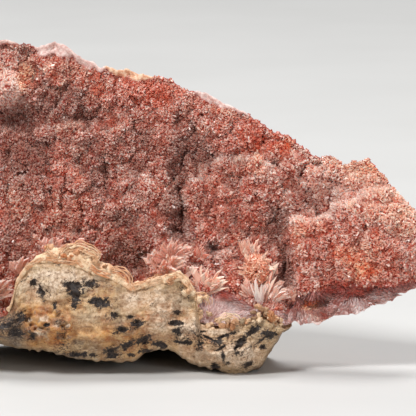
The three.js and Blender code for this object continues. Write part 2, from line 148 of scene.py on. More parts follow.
# Small forms of the druse and their tones: (x, v, half width, half height, depth, dull and shade, pale, glow,
# warm). Where a form is a hollow, its dull and shade is painted shade.
# A form that stands out has a negative depth. Amounts left out at the end of a row are 0.
FORMS = [
    (-28.8, 50.1, 3.6, 3, 0.8, 0.8), (-26.2, 48.5, 1.2, 1.8, 1.2, 0.9), (-22.8, 59.5, 0.6, 0.8, 1, 0.7),
    (-22.2, 56.9, 1.2, 1.8, 0.6, 0.7), (-23.2, 52.1, 2.6, 2.6, 0.5, 0.7), (-18.4, 50.1, 2.8, 1, 0.8, 0.7),
    (-14.8, 48.9, 2.4, 1.6, 0.6, 0.6), (-16.6, 53.7, 5, 3.4, 0.2, 0.5), (-11.2, 41.7, 0.6, 1.6, 0.8, 0.6),
    (-10, 35.7, 1.1, 1.8, 1.4, 0.7), (-13.2, 35.7, 2, 2.8, 0.2, 0.5), (-21.4, 35.7, 0.6, 1.8, 1, 0.4),
    (-16.8, 27.3, 1.4, 1.1, 1, 0.6), (-21.6, 27.3, 1.2, 0.8, 0.6, 0.5), (-28, 21.3, 1.2, 1.5, 1.5, 0.9),
    (-5.8, 28.1, 0.7, 2.8, 0.8, 0.6), (-6, 20.7, 4.4, 3.4, 1, 1), (-3, 22.1, 1.6, 1.5, 1.5, 1),
    (3.6, 50.7, 1, 1.3, 1, 0.6), (7.2, 47.7, 1.2, 1.7, 1.4, 0.8), (6.8, 43.3, 4.6, 4.4, 0.7, 0.8),
    (10.8, 41.7, 1.2, 1.6, 0.6, 0.6), (2.8, 39.7, 1.8, 2, 1, 0.6), (3.6, 36.7, 2, 2.4, 1, 0.8),
    (5.2, 35.7, 0.8, 1.6, 0.8, 0.8), (3.6, 32.3, 1.8, 2.4, 0.8, 0.9), (4, 26.7, 1.8, 1.3, 1.2, 1),
    (5, 30.7, 1.2, 3.2, 1, 0.6, 0.2), (-2.6, 27.7, 2.8, 2.8, 0, 0.55, 0.15), (-8.6, 28.7, 2.4, 2.4, 0, 0.4),
    (-7.6, 24.7, 2.8, 1.6, 0.4, 0.7), (15.6, 29.3, 1, 1, 1.2, 0.3, -0.3), (17.4, 27.3, 1.2, 1, 1, 0.7),
    (11.2, 23.3, 2, 1.8, 1.4, 0.8), (8.2, 20.5, 1, 1, 1.5, 0.7), (12.2, 35.7, 0.6, 1.8, 0.8, 0.2, -0.2),
    (23.4, 40.7, 1.4, 1.2, 0.9, 0.6), (25.4, 30.7, 2, 4.4, 0.5, 0.6), (22.8, 28, 1.6, 2.8, 0.2, 0.5),
    (25.4, 19.7, 1.6, 2.8, 1.5, 0.9), (25.6, 23.7, 1.2, 1.6, 1, 0.7), (32, 33.7, 4.8, 2.8, 0.5, 0.6),
    (36, 32.7, 1.6, 1.2, 0.6, 0.5), (29.4, 31.1, 2.2, 1, 0.5, 0.5), (26.4, 16.7, 1.2, 1.4, 1, 0.8),
    (27.8, 24.5, 0.8, 1.2, 0.6, 0.2, -0.2), (35.4, 23.3, 2.4, 2, 0.1, 0.3), (-26, 60.5, 2, 2, 0.3, 0.5),
    (-38, 44, 5, 6, 0.3, 0.5), (-46, 30, 4, 6, 0.2, 0.4), (-25.6, 63.7, 6, 1.6, 0, 0, 0.35),
    (-30.4, 56.7, 2.6, 3.4, -0.4, -0.3, 0.9, -0.4), (-19.6, 61.3, 2.4, 1.2, 0, 0, 0.2, 0.4),
    (-18.4, 48.1, 2.6, 0.7, -0.5, 0, 0.5), (-20.2, 48.9, 0.9, 0.7, -0.4, 0, 0.4),
    (-7.6, 56.3, 1, 1.6, 0, 0, 0.2), (-0.6, 55.3, 6.5, 2.4, -0.3, 0, 0, 1),
    (0, 47.5, 1, 0.9, -0.4, 0, 0.35), (-19.6, 39.7, 2.8, 3.2, -0.2, 0, 0, 0.5),
    (-28, 37.1, 1.6, 0.9, -0.5, 0, 0.4), (-29.6, 31.7, 2.2, 4, 0, 0, 0, 0.4),
    (-3.6, 36.7, 4, 1.4, -0.5, 0, 0.3), (-5.6, 32.7, 2.4, 2, -0.2, 0, 0, 0.4),
    (2, 32.7, 0.5, 1.4, -1, 0, 0.6, 0, 0.2), (-9.6, 31.7, 2, 1.6, -0.2, 0, 0.25),
    (-11.6, 43.7, 1, 1, -0.3, 0, 0.2, 0, 0.4), (19.4, 47.7, 5, 2.6, 0, 0, 0, 1),
    (25.4, 44.3, 1.8, 1.2, 0, 0, 0, 1, 0.3), (14.4, 52.7, 4, 1.2, 0, 0, 0.35),
    (8.4, 37.7, 2.8, 0.7, -0.4, 0, 0.6), (12.8, 40.1, 1.6, 1.2, -0.5, 0, 0.35),
    (18.4, 41.1, 2.4, 1.4, -0.5, 0, 0.35), (9.4, 32.7, 2.4, 2.4, -0.3, 0, 0, 0.4),
    (6.8, 26.7, 0.9, 3.6, 0, 0.4, 0.4), (18.4, 29.3, 2, 1.6, -0.2, 0, 0, 0.4),
    (22.8, 26.7, 1, 1.6, -0.3, 0, 0.25), (29, 28.7, 1.6, 1.8, -0.4, 0, 0.25, 0.4),
    (37.4, 37.7, 6.5, 3.2, 0, 0, 0.5), (42.8, 40.1, 1.8, 1.6, -0.3, 0, 0.3, 0.5, 0.1),
    (34.4, 41.7, 2, 1, 0, 0, 0.6), (44.4, 31.7, 4, 2, -0.2, 0, 0.35),
    (48.4, 28.7, 3, 3, 0, 0, 0.35, 0, 0.2), (40, 20.1, 3, 2, -0.2, 0, 0, 0.9, 0.6),
    (47.4, 22.7, 3.6, 3.2, 0, 0, 0, 0.7), (29, 23.3, 1, 1, -0.3, 0, 0.35),
    (41.4, 23.7, 3.2, 2.4, 0, 0, 0.2, 0, 0.4), (32.4, 25.7, 3, 3, 0, 0, 0, 0.4),
    (-42, 22, 6, 6, -0.3, 0, 0.2, 0.3), (-26.5, 43.3, 6, 5.5, 0, 0.45, -0.2),
    (-3, 44.5, 5.5, 5.5, 0, 0.35, -0.15), (13, 29.6, 6, 4, 0, 0.1, -0.3), (11, 35, 4, 3, 0, 0, -0.3, 0.3),
    (21, 47, 6, 3, 0, 0, -0.25), (-2, 55.5, 8, 3, 0, 0, -0.2), (32, 25.5, 4.5, 5.5, 0, 0, -0.3),
    (40, 24, 5, 6, 0, 0, -0.25, 0.2), (48, 22, 5, 5, 0, 0, -0.15, 0.3), (-27, 25, 6, 7, 0, 0.2, -0.15),
    (-24, 38, 5, 5, 0, 0.2), (-8, 33, 6, 8, 0, 0.1, -0.1), (34, 38.5, 6, 4, 0, -0.2, 0.6),
    (14, 44.5, 4, 3, 0, 0.2), (-28, 38, 34, 34, 0, 0.3, -0.08), (44, 33, 9, 12, 0, -0.3, 0.4, 0, 0.05),
    (41, 40, 5, 3, 0, 0, 0.5, 0, 0.1), (15, 30, 11, 13, 0, 0.12), (42, 25, 14, 9, 0, -0.5, 0.1, 0.5),
    (45.6, 24, 3, 5, 0.3, 0, -0.4, 0.6), (41, 40, 8, 4, 0, -0.5, 0.35, 0.2),
    (37.5, 22.5, 2, 1.6, -0.3, 0, -0.2, 1, 0.6), (42, 19.5, 2.6, 1.6, -0.4, 0, -0.2, 1, 0.8),
    (13.5, 16.4, 4, 2, 0, -0.3, -0.25, 0.6, 0.1), (41, 39.6, 6, 4, 0, -0.2, 0.4, 0, 0.1),
    (30, 28, 26, 18, 0, 0.12, -0.12), (41, 40.4, 7, 3.4, 0, -0.2, 0.3, 0, 0.05),
    (-31, 56.4, 2.2, 3, -1.2, -0.2, 0.3), (-28.4, 50.1, 4, 2.6, 1, 0.3),
    (-31.2, 60, 2.6, 4, -0.5, -0.3, 0.4, -0.3), (13.5, 15.8, 5, 1.6, 0, -0.3, 0.1, 0.5),
    (-10.6, 57.5, 2, 3.4, -1.2, -0.4, 0.1, 0.2), (-27, 59.5, 1.8, 3.4, 0, 0.3, 0.2, -0.3, 0.9),
    (-30.6, 56.7, 2.4, 3, 0, -0.6, 0.5, -0.3), (-19.6, 39.5, 3, 3.4, -0.2, -0.3, 0, 0.6),
    (20.8, 39, 1.5, 1.3, -0.7, -0.3, 0.5, 0, 0.1), (20.6, 42.2, 0.5, 1.3, -0.9, -0.3, 0.7, 0, 0.3),
    (9.8, 47.7, 1.2, 2.4, -0.4, -0.2, 0.45), (15.5, 47, 4, 4, 0, -0.3, -0.1, 0.7),
    (26.6, 44.4, 1.4, 1.6, 0, -0.5, -0.2, 1, 0.7), (29, 35.5, 5, 3.2, 0.3, 0.4),
    (35, 41, 2, 1.6, -0.5, -0.4, 0.4, 0, 0.2), (28.6, 26.5, 1.2, 3, -0.3, -0.4, 0.1, 0.6, 0.5),
    (30.6, 41.6, 3.4, 2.4, -0.7, -0.8, 0.35, 0, 0.1), (-28, 42.7, 6, 7, 0.2, 0.25, -0.1),
    (-3, 44.7, 5, 5.5, 0, 0.15), (9, 34, 4, 4, 0, 0.15, -0.1), (17, 41.4, 6, 3, 0, 0.2, -0.1),
    (41, 29, 4, 5, 0, 0.25), (47.5, 25, 4, 5, 0, -0.5, 0.3, 0.2), (13, 30, 5, 3.4, 0, 0.15),
    (-14.6, 42.7, 5, 5.5, 0.1, 0.2, -0.05), (-26, 53.7, 5, 3.4, 0, 0.15, -0.1),
    (25.4, 33, 2, 4, 0, -0.15, 0.1), (11, 35, 4, 3.4, 0, 0.25, -0.1), (3, 30.7, 3, 4.4, 0.3, 0.5, -0.2),
    (17, 41.2, 6, 2.6, 0, 0, -0.2), (40.4, 28.7, 4, 5, 0, 0.1, -0.3, 0.2),
    (-26, 53.7, 5, 3.4, 0.2, 0.4, -0.1), (-1, 55.8, 6, 3, 0, -0.4, -0.25, 0.6),
    (50, 30, 5, 4, 0, -0.5, 0.35, 0.2, 0.1), (10, 33, 5, 5, 0, -0.2, 0, 0.2), (18, 36, 7, 5, 0, -0.2),
    (22, 46.8, 6.5, 3.6, 0, -0.5, -0.35, 0.4), (12, 49, 6, 3, 0, -0.4, 0.05, 0.2),
    (0, 55.2, 9, 3.2, 0, -0.5, -0.05, 0.5), (-26, 59, 7, 6, 0, -0.2, 0.1),
]

# ---------------- numbers of the looks

SEED = 20
CRYSTAL_STEP = 0.31  # spacing of the small crystals over the druse
COARSE_STEP = 0.74  # spacing of the larger crystals among them
SMALL_ROOT, COARSE_ROOT = 0.14, 0.25  # how deep the roots of both are sunk
KNOBBLY = 1.8  # height of the small knobs of the druse
LOWEST, HIGHEST = 4, 68  # v between which crystals are scattered
STEEPEST = 3.5  # most crystals that a steep place gets for each one on the flat
CRUST_STEP = 0.4  # spacing of the crust's mesh along x
ROCK_STEP = 0.32  # spacing of the rock's mesh along x
RIND_STEP = 0.2  # spacing of the rind's mesh along x

random = np.random.default_rng(SEED)

# ---------------- small helpers


def along(table, x):
    """Reads a list of (x, value) at x, in straight lines between its points."""
    xs, values = zip(*table)
    return np.interp(x, xs, values)


def lerp(a, b, t):
    return a + (b - a) * t


def smoothstep(value, low, high):
    t = np.clip((value - low) / (high - low), 0, 1)
    return t * t * (3 - 2 * t)


def hash3(i, j, k):
    s = np.sin(i * 127.1 + j * 311.7 + k * 74.7) * 43758.5453
    return s - np.floor(s)


def noise(x, y, z):
    """Smooth noise from -1 to 1."""
    x, y, z = np.broadcast_arrays(*(np.asarray(n, float) for n in (x, y, z)))
    i, j, k = np.floor(x), np.floor(y), np.floor(z)
    a, b, c = ((t * t * (3 - 2 * t)) for t in (x - i, y - j, z - k))

    def row(dj, dk):
        return lerp(hash3(i, j + dj, k + dk), hash3(i + 1, j + dj, k + dk), a)

    def layer(dk):
        return lerp(row(0, dk), row(1, dk), b)

    return lerp(layer(0), layer(1), c) * 2 - 1


def layered(x, y, z, octaves=3):
    """Noise summed over octaves, each half as strong and twice as fine."""
    total = 0
    for octave in range(octaves):
        total = total + noise(x * 2**octave, y * 2**octave, z + 13 * octave) / 2**octave
    return total


def place(x, w, v):
    """From the leaning face frame to the frame's metres. Nothing reaches below the resting plane."""
    y = w * math.cos(LEAN) + v * math.sin(LEAN) - STAND_BACK
    z = v * math.cos(LEAN) - w * math.sin(LEAN)
    return np.stack(np.broadcast_arrays(x, y, np.maximum(0, z)), -1) * MM


def turned(dx, dw, dv):
    """A direction of the face frame, in the frame's axes."""
    y = dw * math.cos(LEAN) + dv * math.sin(LEAN)
    z = dv * math.cos(LEAN) - dw * math.sin(LEAN)
    return np.stack(np.broadcast_arrays(dx, y, z), -1)


def unit(vectors):
    return vectors / np.maximum(np.linalg.norm(vectors, axis=-1, keepdims=True), 1e-9)


def clouds(x, v, size, salt, low, high):
    """Soft patches of so many millimetres: 0 where their noise is low and 1 where it is high."""
    return smoothstep(layered(x / size, v / size, salt), low, high)


def patches(table, x, v, uneven=0.35):
    """How deep a point lies in the nearest patch of a list of (x, v, half width, half height, turn)."""
    best = np.full(np.shape(x), -1.0)
    wobble = uneven * layered(x / 0.9, v / 0.9, 55)
    for x0, v0, rx, rv, turn in table:
        c, s = math.cos(math.radians(turn)), math.sin(math.radians(turn))
        across = ((x - x0) * c + (v - v0) * s) / rx
        up = ((v - v0) * c - (x - x0) * s) / rv
        best = np.maximum(best, 1 - np.hypot(across, up) + wobble)
    return best


def tinted(table, x, v):
    """Sums soft patches, each (x, v, half width, half height, amount)."""
    total = np.zeros(np.shape(x))
    for x0, v0, rx, rv, amount in table:
        total = total + amount * np.exp(-(((x - x0) / rx) ** 2) - ((v - v0) / rv) ** 2)
    return total


def covered(table, x, v):
    return np.clip(tinted(table, x, v), 0, 1)


# ---------------- the face's shape


def cells(x, v, wide, high, salt, upward=1.0):
    """The nearest of scattered centres: its x and v, how far it is, and a number from 0 to 1 of its own.
    Distances up the face count for so much of their length."""
    i, j = np.floor(x / wide), np.floor(v / high)
    best = np.full(np.shape(x), np.inf)
    centre_x, centre_v, own = np.zeros_like(best), np.zeros_like(best), np.zeros_like(best)
    for di, dj in itertools.product((-1, 0, 1), repeat=2):
        cx = (i + di + hash3(i + di, j + dj, salt + 1)) * wide
        cv = (j + dj + hash3(i + di, j + dj, salt + 2)) * high
        away = np.hypot(x - cx, (v - cv) * upward)
        nearer = away < best
        best = np.where(nearer, away, best)
        centre_x, centre_v = np.where(nearer, cx, centre_x), np.where(nearer, cv, centre_v)
        own = np.where(nearer, hash3(i + di, j + dj, salt + 3), own)
    return centre_x, centre_v, best, own


def forms(x, v):
    """Sums the small forms: depth, dull and shade, pale, glow and warm, one layer each."""
    total = np.zeros((5, np.size(x)))
    flat_x, flat_v = np.ravel(x), np.ravel(v)
    for x0, v0, rx, rv, *amounts in FORMS:
        near = (abs(flat_x - x0) < 2 * rx) & (abs(flat_v - v0) < 2 * rv)
        away = np.hypot((flat_x[near] - x0) / rx, (flat_v[near] - v0) / rv)
        total[: len(amounts), near] += np.array(amounts)[:, None] * np.exp(-(away**3))
    return total.reshape((5, *np.shape(x)))


def ragged(x, v):
    """The point moved a little to and fro, so that forms placed there have uneven edges."""
    bent_x = x + 0.7 * noise(x / 2.5, v / 2.5, 71) + 0.3 * noise(x / 0.9, v / 0.9, 73)
    bent_v = v + 0.7 * noise(x / 2.5, v / 2.5, 72) + 0.3 * noise(x / 0.9, v / 0.9, 74)
    return bent_x, bent_v


def ledge(x, v, x0, v0, rise, right, down):
    edge = smoothstep(x, x0 - 0.5, x0 + 0.5) * smoothstep(-v, -v0 - 0.5, -v0 + 0.5)
    return rise * edge * np.exp(-np.maximum(0, x - x0) / right - np.maximum(0, v0 - v) / down)


def crest(large, small):
    """The knobs of both sizes in one number, from 0 to 1."""
    return 0.65 * large + 0.7 * small


def knobs(x, v):
    """How high a point stands on the round knobs: up to 1 on the large ones and 0.5 on the small ones."""
    bent_x, bent_v = ragged(x, v)
    _, _, away, own = cells(bent_x, bent_v, 2.3, 2.6, 90)
    large = np.clip(1 - (away / 1.9) ** 2, 0, 1) * (0.5 + 0.5 * own)
    return large, np.minimum(np.abs(noise(bent_x / 1.2, bent_v / 1.3, 41)), 0.5)


def relief(x, v):
    """How far the druse lies behind the plain sheet, with clumps, steps, hollows and small tufts."""
    bent_x, bent_v = ragged(x, v)
    _, _, away, own = cells(bent_x, bent_v, 3, 4, 0, upward=0.7)
    depth = own * 1.8 + 0.35 * away + 0.7 * noise(x / 7, v / 9, 5)
    for index, (x0, v0, *fades) in enumerate(LEDGES):
        top = along(STEP_TOPS[index], bent_x) if index < len(STEP_TOPS) else v0
        depth = depth - ledge(bent_x, bent_v, x0, top, *fades)
    depth = depth + tinted(HOLLOWS, bent_x, bent_v) + tinted(SWELLS, x, v) + forms(bent_x, bent_v)[0]
    return depth - KNOBBLY * (crest(*knobs(x, v)) - 0.4)


def rim_line(x):
    """The upper edge of the druse at x, uneven from crystal to crystal."""
    return along(RIM, x) + 0.28 * noise(x / 1.3, 0, 92) + 0.18 * noise(x / 0.55, 0, 93)


def bed_line(x):
    """The lower edge of the crust at x, chipped where it juts out past the rock."""
    chips = 0.35 * noise(x / 1.1, 0, 94) + 0.2 * noise(x / 0.5, 0, 95)
    return along(BED, x) + chips * smoothstep(x, 26, 28)


def span(x, v):
    """How far up the face a point is, from 0 at its bed to 1 at its rim."""
    bed, rim = bed_line(x), rim_line(x)
    return np.clip((v - bed) / (rim - bed), 0, 1)


def sheet(x, v):
    """Depth of the plain sheet, on a curve through its bed, its middle and its rim."""
    s = span(x, v)
    return (
        along(BED_DEPTH, x) * (1 - s) * (1 - 2 * s)
        + along(MID_DEPTH, x) * 4 * s * (1 - s)
        + along(RIM_DEPTH, x) * s * (2 * s - 1)
    )


def druse_share(x, v):
    """1 on the druse and 0 on the broken section below it."""
    edge = along(BREAK, x) + 0.5 * noise(x / 1.3, 0, 77)
    return np.where(x < BREAK[0][0], 1.0, smoothstep(v, edge - 0.4, edge + 0.4))


def broken(x, v, size, salt):
    """A surface broken into slanting flats, from about -1 to 1."""
    bent_x = x + 0.25 * size * noise(x / size, v / size, salt)
    bent_v = v + 0.25 * size * noise(x / size, v / size, salt + 1)
    centre_x, centre_v, _, own = cells(bent_x, bent_v, size, size, salt)
    slant_x = hash3(centre_x, centre_v, salt + 5) - 0.5
    slant_v = hash3(centre_x, centre_v, salt + 6) - 0.5
    slope = slant_x * (bent_x - centre_x) + slant_v * (bent_v - centre_v)
    return own - 0.5 + slope * 1.6 / size


def thickness(x, v):
    """How thick the crust is behind the plain sheet."""
    s = span(x, v)
    ends = np.minimum(1, np.minimum((x - LEFT) / 8, (RIGHT - x) / 14))
    return (lerp(BED_THICK, RIM_THICK, s) + CORE_THICK * np.sin(np.pi * s) ** 0.7) * lerp(0.35, 1, ends)


def front(x, v):
    """Depth of the crust's face: the druse's relief, or the chunks of the broken section, on the sheet."""
    bed, rim = bed_line(x), rim_line(x)
    fade = smoothstep(v, bed, bed + 4) * smoothstep(-v, -rim, 1.5 - rim)
    chunks = broken(x, v, 2.6, 160) + 0.4 * broken(x, v, 1.1, 170)
    section = 1.5 + 0.5 * noise(x / 3, v, 9)
    section = section + 0.9 * chunks * smoothstep(x, 21, 24) + tinted(SECTION_FORMS, x, v)
    depth = lerp(section, relief(x, v), druse_share(x, v)) * fade
    return sheet(x, v) + np.minimum(depth, thickness(x, v) - THINNEST)


def back(x, v):
    return sheet(x, v) + thickness(x, v) + 0.5 * noise(x / 5, v / 5, 20)


def facing(x, v, reach=0.3):
    """The druse's outward direction in the face frame, and how much steeper than flat it is."""
    slope_x = (front(x + reach, v) - front(x - reach, v)) / (2 * reach)
    slope_v = (front(x, v + reach) - front(x, v - reach)) / (2 * reach)
    outward = np.stack([slope_x, -np.ones_like(slope_x), slope_v], -1)
    return unit(outward), np.sqrt(1 + slope_x**2 + slope_v**2)


# ---------------- meshes


def mesh_piece(name, points, faces, node, slot, material, smooth=False, **attributes):
    """One piece from arrays: points in metres, lists of faces with as many corners each, and numbers or
    vectors for each point. Points and numbers may come in the rows of a grid."""
    corners = np.concatenate([each.ravel() for each in faces])
    sizes = np.concatenate([np.full(len(each), each.shape[1]) for each in faces])
    points = np.asarray(points, np.float32).ravel()
    mesh = bpy.data.meshes.new(name)
    mesh.vertices.add(points.size // 3)
    mesh.vertices.foreach_set("co", points)
    mesh.loops.add(corners.size)
    mesh.loops.foreach_set("vertex_index", corners.astype(np.int32))
    mesh.polygons.add(len(sizes))
    mesh.polygons.foreach_set("loop_start", (np.cumsum(sizes) - sizes).astype(np.int32))
    mesh.update(calc_edges=True)
    mesh.validate()
    for key, values in attributes.items():
        values = np.asarray(values, np.float32).ravel()
        kind, field = ("FLOAT_VECTOR", "vector") if values.size == points.size else ("FLOAT", "value")
        mesh.attributes.new(key, kind, "POINT").data.foreach_set(field, values)
    if smooth:
        mesh.shade_smooth()
    else:
        mesh.shade_flat()
    mesh.materials.append(material)
    piece = bpy.data.objects.new(name, mesh)
    bpy.context.scene.collection.objects.link(piece)
    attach(piece, "root")
    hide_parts(node)


def grid_quads(rows, columns):
    """Faces of a grid of points whose last column joins its first."""
    i, j = np.arange(rows - 1)[:, None] * columns, np.arange(columns)[None, :]
    after = (j + 1) % columns
    return np.stack([i + j, i + columns + j, i + columns + after, i + after], -1).reshape(-1, 4)


def drawn_in(loop, x, out, rings, rough):
    """Rings that close an end of a loft: the loop drawn in to its middle, x moving out a little."""
    middle = loop.mean(0)
    result = []
    for ring in range(1, rings + 1):
        share = ring / rings
        shrunk = lerp(loop, middle, share)
        swell = out * np.sin(share * np.pi / 2)
        bumps = rough * layered(shrunk[:, 0] / 3, shrunk[:, 1] / 3, 8) * np.sin(share * np.pi / 2)
        result.append((x + swell + bumps, shrunk))
    return result


def lofted(section, low, high, step, rings, rough):
    """Sections along x, each a closed loop of (w, v), with both ends drawn in. Gives points as (x, w, v)."""
    xs = np.linspace(low + CAP, high - CAP, int((high - low) / step))
    loops = section(xs)
    body = [(np.full(loops.shape[1], x), loop) for x, loop in zip(xs, loops)]
    first = drawn_in(loops[0], xs[0], -CAP, rings, rough)[::-1]
    last = drawn_in(loops[-1], xs[-1], CAP, rings, rough)
    everything = first + body + last
    x = np.stack([e[0] for e in everything])
    wv = np.stack([e[1] for e in everything])
    return x, wv[..., 0], wv[..., 1]


# The corners of a crystal's foot, as shares of half its width and half its thickness, and its chisel's edge.
ACROSS = np.array([-1.0, 1, 1, -1])[None, :, None]
THROUGH = np.array([-1.0, -1, 1, 1])[None, :, None]
EDGE_ENDS = np.array([-1.0, 1])[None, :, None]
# Faces of one crystal; the four corners of its foot come first. A blade has eight points and a chisel six.
BLADE_POINTS, CHISEL_POINTS = 8, 6
BLADE_FACES = [np.array([(0, 1, 5, 4), (1, 2, 6, 5), (2, 3, 7, 6), (3, 0, 4, 7), (4, 5, 6, 7)])]
CHISEL_FACES = [np.array([(0, 1, 5, 4), (2, 3, 4, 5)]), np.array([(1, 2, 5), (3, 0, 4)])]


def columns(count, *values):
    """Each value as one number for each crystal, ready to go with its corners."""
    return [np.broadcast_to(each, count)[:, None, None] for each in values]


def squared(aims, sides):
    """Directions along, across and through each crystal, at right angles to each other."""
    aims = unit(aims)
    sides = unit(sides - aims * (sides * aims).sum(-1, keepdims=True))
    return aims[:, None], sides[:, None], np.cross(aims, sides)[:, None]


def crystals(feet, tips, faces):
    """Joins the feet and tips. Gives points, lists of faces, and how far along its crystal each point is."""
    points = np.concatenate([feet, tips], 1)
    count, corners = points.shape[:2]
    starts = np.arange(count)[:, None, None] * corners
    faces = [(starts + each[None]).reshape(-1, each.shape[1]) for each in faces]
    share = np.tile(np.repeat([0.0, 1.0], (feet.shape[1], tips.shape[1])), count)
    return points.reshape(-1, 3), faces, share


def blades(roots, aims, sides, wide, thick, long, taper, slant, rise):
    """Flat-faced crystals with slanting ends, one for each root. Roots in metres, sizes in millimetres."""
    wide, thick, long, taper, slant = columns(len(roots), wide * MM, thick * MM, long * MM, taper, slant)
    aims, sides, others = squared(aims, sides)
    across, through = ACROSS * sides * wide / 2, THROUGH * others * thick / 2
    slope = 1 - slant * (ACROSS + 1) / 2 - rise * (THROUGH + 1) / 2
    roots = roots[:, None]
    tips = roots + (across + through) * taper + aims * long * slope
    return crystals(roots + across + through, tips, BLADE_FACES)


def per_blade(values):
    """Repeats one number for each crystal over its points."""
    return np.repeat(values, BLADE_POINTS)


def chisels(roots, aims, sides, wide, thick, long, taper, slant):
    """Small crystals that narrow to a slanting edge. Roots in metres, sizes in millimetres."""
    wide, thick, long, taper, slant = columns(len(roots), wide * MM, thick * MM, long * MM, taper, slant)
    aims, sides, others = squared(aims, sides)
    roots = roots[:, None]
    feet = roots + ACROSS * sides * wide / 2 + THROUGH * others * thick / 2
    tips = roots + EDGE_ENDS * sides * wide / 2 * taper + aims * long * (1 - slant * (EDGE_ENDS + 1) / 2)
    return crystals(feet, tips, CHISEL_FACES)


# ---------------- shaders


class Shader:
    """Adds nodes to one material and links them."""

    def __init__(self, name, **sockets):
        self.material = bpy.data.materials.new(name)
        self.material.use_nodes = True
        self.tree = self.material.node_tree
        self.surface = self.tree.nodes["Principled BSDF"]
        for socket, value in sockets.items():
            self.surface.inputs[socket.replace("_", " ")].default_value = value

    def add(self, kind, inputs=None, **settings):
        made = self.tree.nodes.new(kind)
        for key, value in settings.items():
            setattr(made, key, value)
        for socket, value in (inputs or {}).items():
            self.feed(made.inputs[socket], value)
        return made

    def feed(self, socket, value):
        if isinstance(value, bpy.types.NodeSocket):
            self.tree.links.new(value, socket)
        else:
            socket.default_value = value

    def number(self, name):
        return self.add("ShaderNodeAttribute", attribute_name=name).outputs["Fac"]

    def vector(self, name):
        return self.add("ShaderNodeAttribute", attribute_name=name).outputs["Vector"]

    def math(self, operation, a, b=0.0, clamp=False):
        made = self.add("ShaderNodeMath", {0: a, 1: b}, operation=operation, use_clamp=clamp)
        return made.outputs[0]

    def times(self, a, b, clamp=False):
        return self.math("MULTIPLY", a, b, clamp)

    def plus(self, a, b):
        return self.math("ADD", a, b)

    def minus(self, a, b):
        return self.math("SUBTRACT", a, b)

    def mix(self, factor, a, b, blend="MIX"):
        made = self.add("ShaderNodeMix", {0: factor, 6: a, 7: b}, data_type="RGBA", blend_type=blend)
        return made.outputs[2]

    def blend(self, value, low, high, a, b):
        """From one colour to another as a value goes from low to high."""
        return self.mix(self.ramp(value, low, high), a, b)

    def coat(self, under, value, low, high, amount, over):
        """Lays up to so much of one colour over another as a value goes from low to high."""
        return self.mix(self.ramp(value, low, high, 0.0, amount), under, over)

    def tint(self, color, amount, tone):
        """Multiplies a colour by a tone, by so much of it."""
        return self.mix(amount, color, self.mix(1.0, color, tone, "MULTIPLY"))

    def position(self):
        return self.add("ShaderNodeTexCoord").outputs["Object"]

    def noise(self, size, detail=3.0, stretch=(1, 1, 1), rough=0.55, vector=None):
        """Noise from 0 to 1 whose features are about so many millimetres across."""
        place_in = vector or self.position()
        scale = 1 if vector else 1 / MM
        scaled = self.add(
            "ShaderNodeMapping", {"Vector": place_in, "Scale": [scale * s / size for s in stretch]}
        )
        made = self.add(
            "ShaderNodeTexNoise",
            {"Vector": scaled.outputs[0], "Scale": 1.0, "Detail": detail, "Roughness": rough},
        )
        return made.outputs["Fac"]

    def ramp(self, value, low, high, bottom=0.0, top=1.0):
        made = self.add(
            "ShaderNodeMapRange",
            {"Value": value, "From Min": low, "From Max": high, "To Min": bottom, "To Max": top},
            interpolation_type="SMOOTHSTEP",
        )
        return made.outputs[0]

    def line(self, value, at, half_width, amount):
        """Thin lines where a value passes a level."""
        return self.ramp(self.math("ABSOLUTE", self.minus(value, at)), 0.0, half_width, amount, 0.0)

    def bump(self, height, strength, distance_mm):
        heights = {"Height": height, "Strength": strength, "Distance": distance_mm * MM}
        self.feed(self.surface.inputs["Normal"], self.add("ShaderNodeBump", heights).outputs[0])

    def finish(self, color, roughness):
        self.feed(self.surface.inputs["Base Color"], color)
        self.feed(self.surface.inputs["Roughness"], roughness)
        return self.material


def rgb(red, green, blue):
    return (red, green, blue, 1.0)


# The roots' deep red is partly painted light: the red that light takes in passing through the crystals in the
# gaps.
CRYSTAL_ROOT = rgb(0.47, 0.062, 0.036)
CRYSTAL_BODY = rgb(0.53, 0.182, 0.124)
CRYSTAL_GLOW = rgb(0.73, 0.235, 0.155)
CRYSTAL_TIP = rgb(0.92, 0.70, 0.61)
WARM_TINT = rgb(1.14, 0.98, 0.74)
# Colours of dull and shaded crystals: greyish, and dark where they stand for painted shade in the hollows and
# creases.
DULL_SHADE_ROOT = rgb(0.15, 0.035, 0.026)
DULL_SHADE_TIP = rgb(0.34, 0.185, 0.15)
LILAC_WHITE = rgb(0.88, 0.69, 0.65)
LILAC = rgb(0.44, 0.18, 0.155)
# The section's dark red; along the druse's lower edge it is partly painted shadow under its overhang.
DEEP_RED = rgb(0.34, 0.04, 0.025)
KEY_LAMP_SIDE = (-0.36, -0.48, 0.8)  # toward the key lamp; faces turned from it are painted redder, as painted shade
# Painted shade: the tint of faces turned from the key lamp.
SHADED_SIDE_TINT = rgb(0.97, 0.62, 0.55)
PATCH_TINT = rgb(0.75, 0.6, 0.6)
SECTION_PINK, SECTION_ROSE = rgb(0.42, 0.15, 0.12), rgb(0.62, 0.20, 0.13)
SECTION_CREAM = rgb(0.86, 0.78, 0.72)
CHALK_PINK, CHALK_WHITE = rgb(0.70, 0.42, 0.37), rgb(0.87, 0.66, 0.60)
OCHRE, LIGHT_OCHRE = rgb(0.66, 0.30, 0.14), rgb(0.86, 0.58, 0.36)
TAN, LIGHT_TAN, SAND = rgb(0.45, 0.27, 0.12), rgb(0.63, 0.42, 0.215), rgb(0.78, 0.565, 0.325)
BED_BROWN, BED_LINE = rgb(0.22, 0.13, 0.075), rgb(0.14, 0.08, 0.05)
UMBER, HAIRLINE, CREAM_GRAIN = rgb(0.18, 0.10, 0.06), rgb(0.10, 0.06, 0.04), rgb(0.80, 0.66, 0.50)
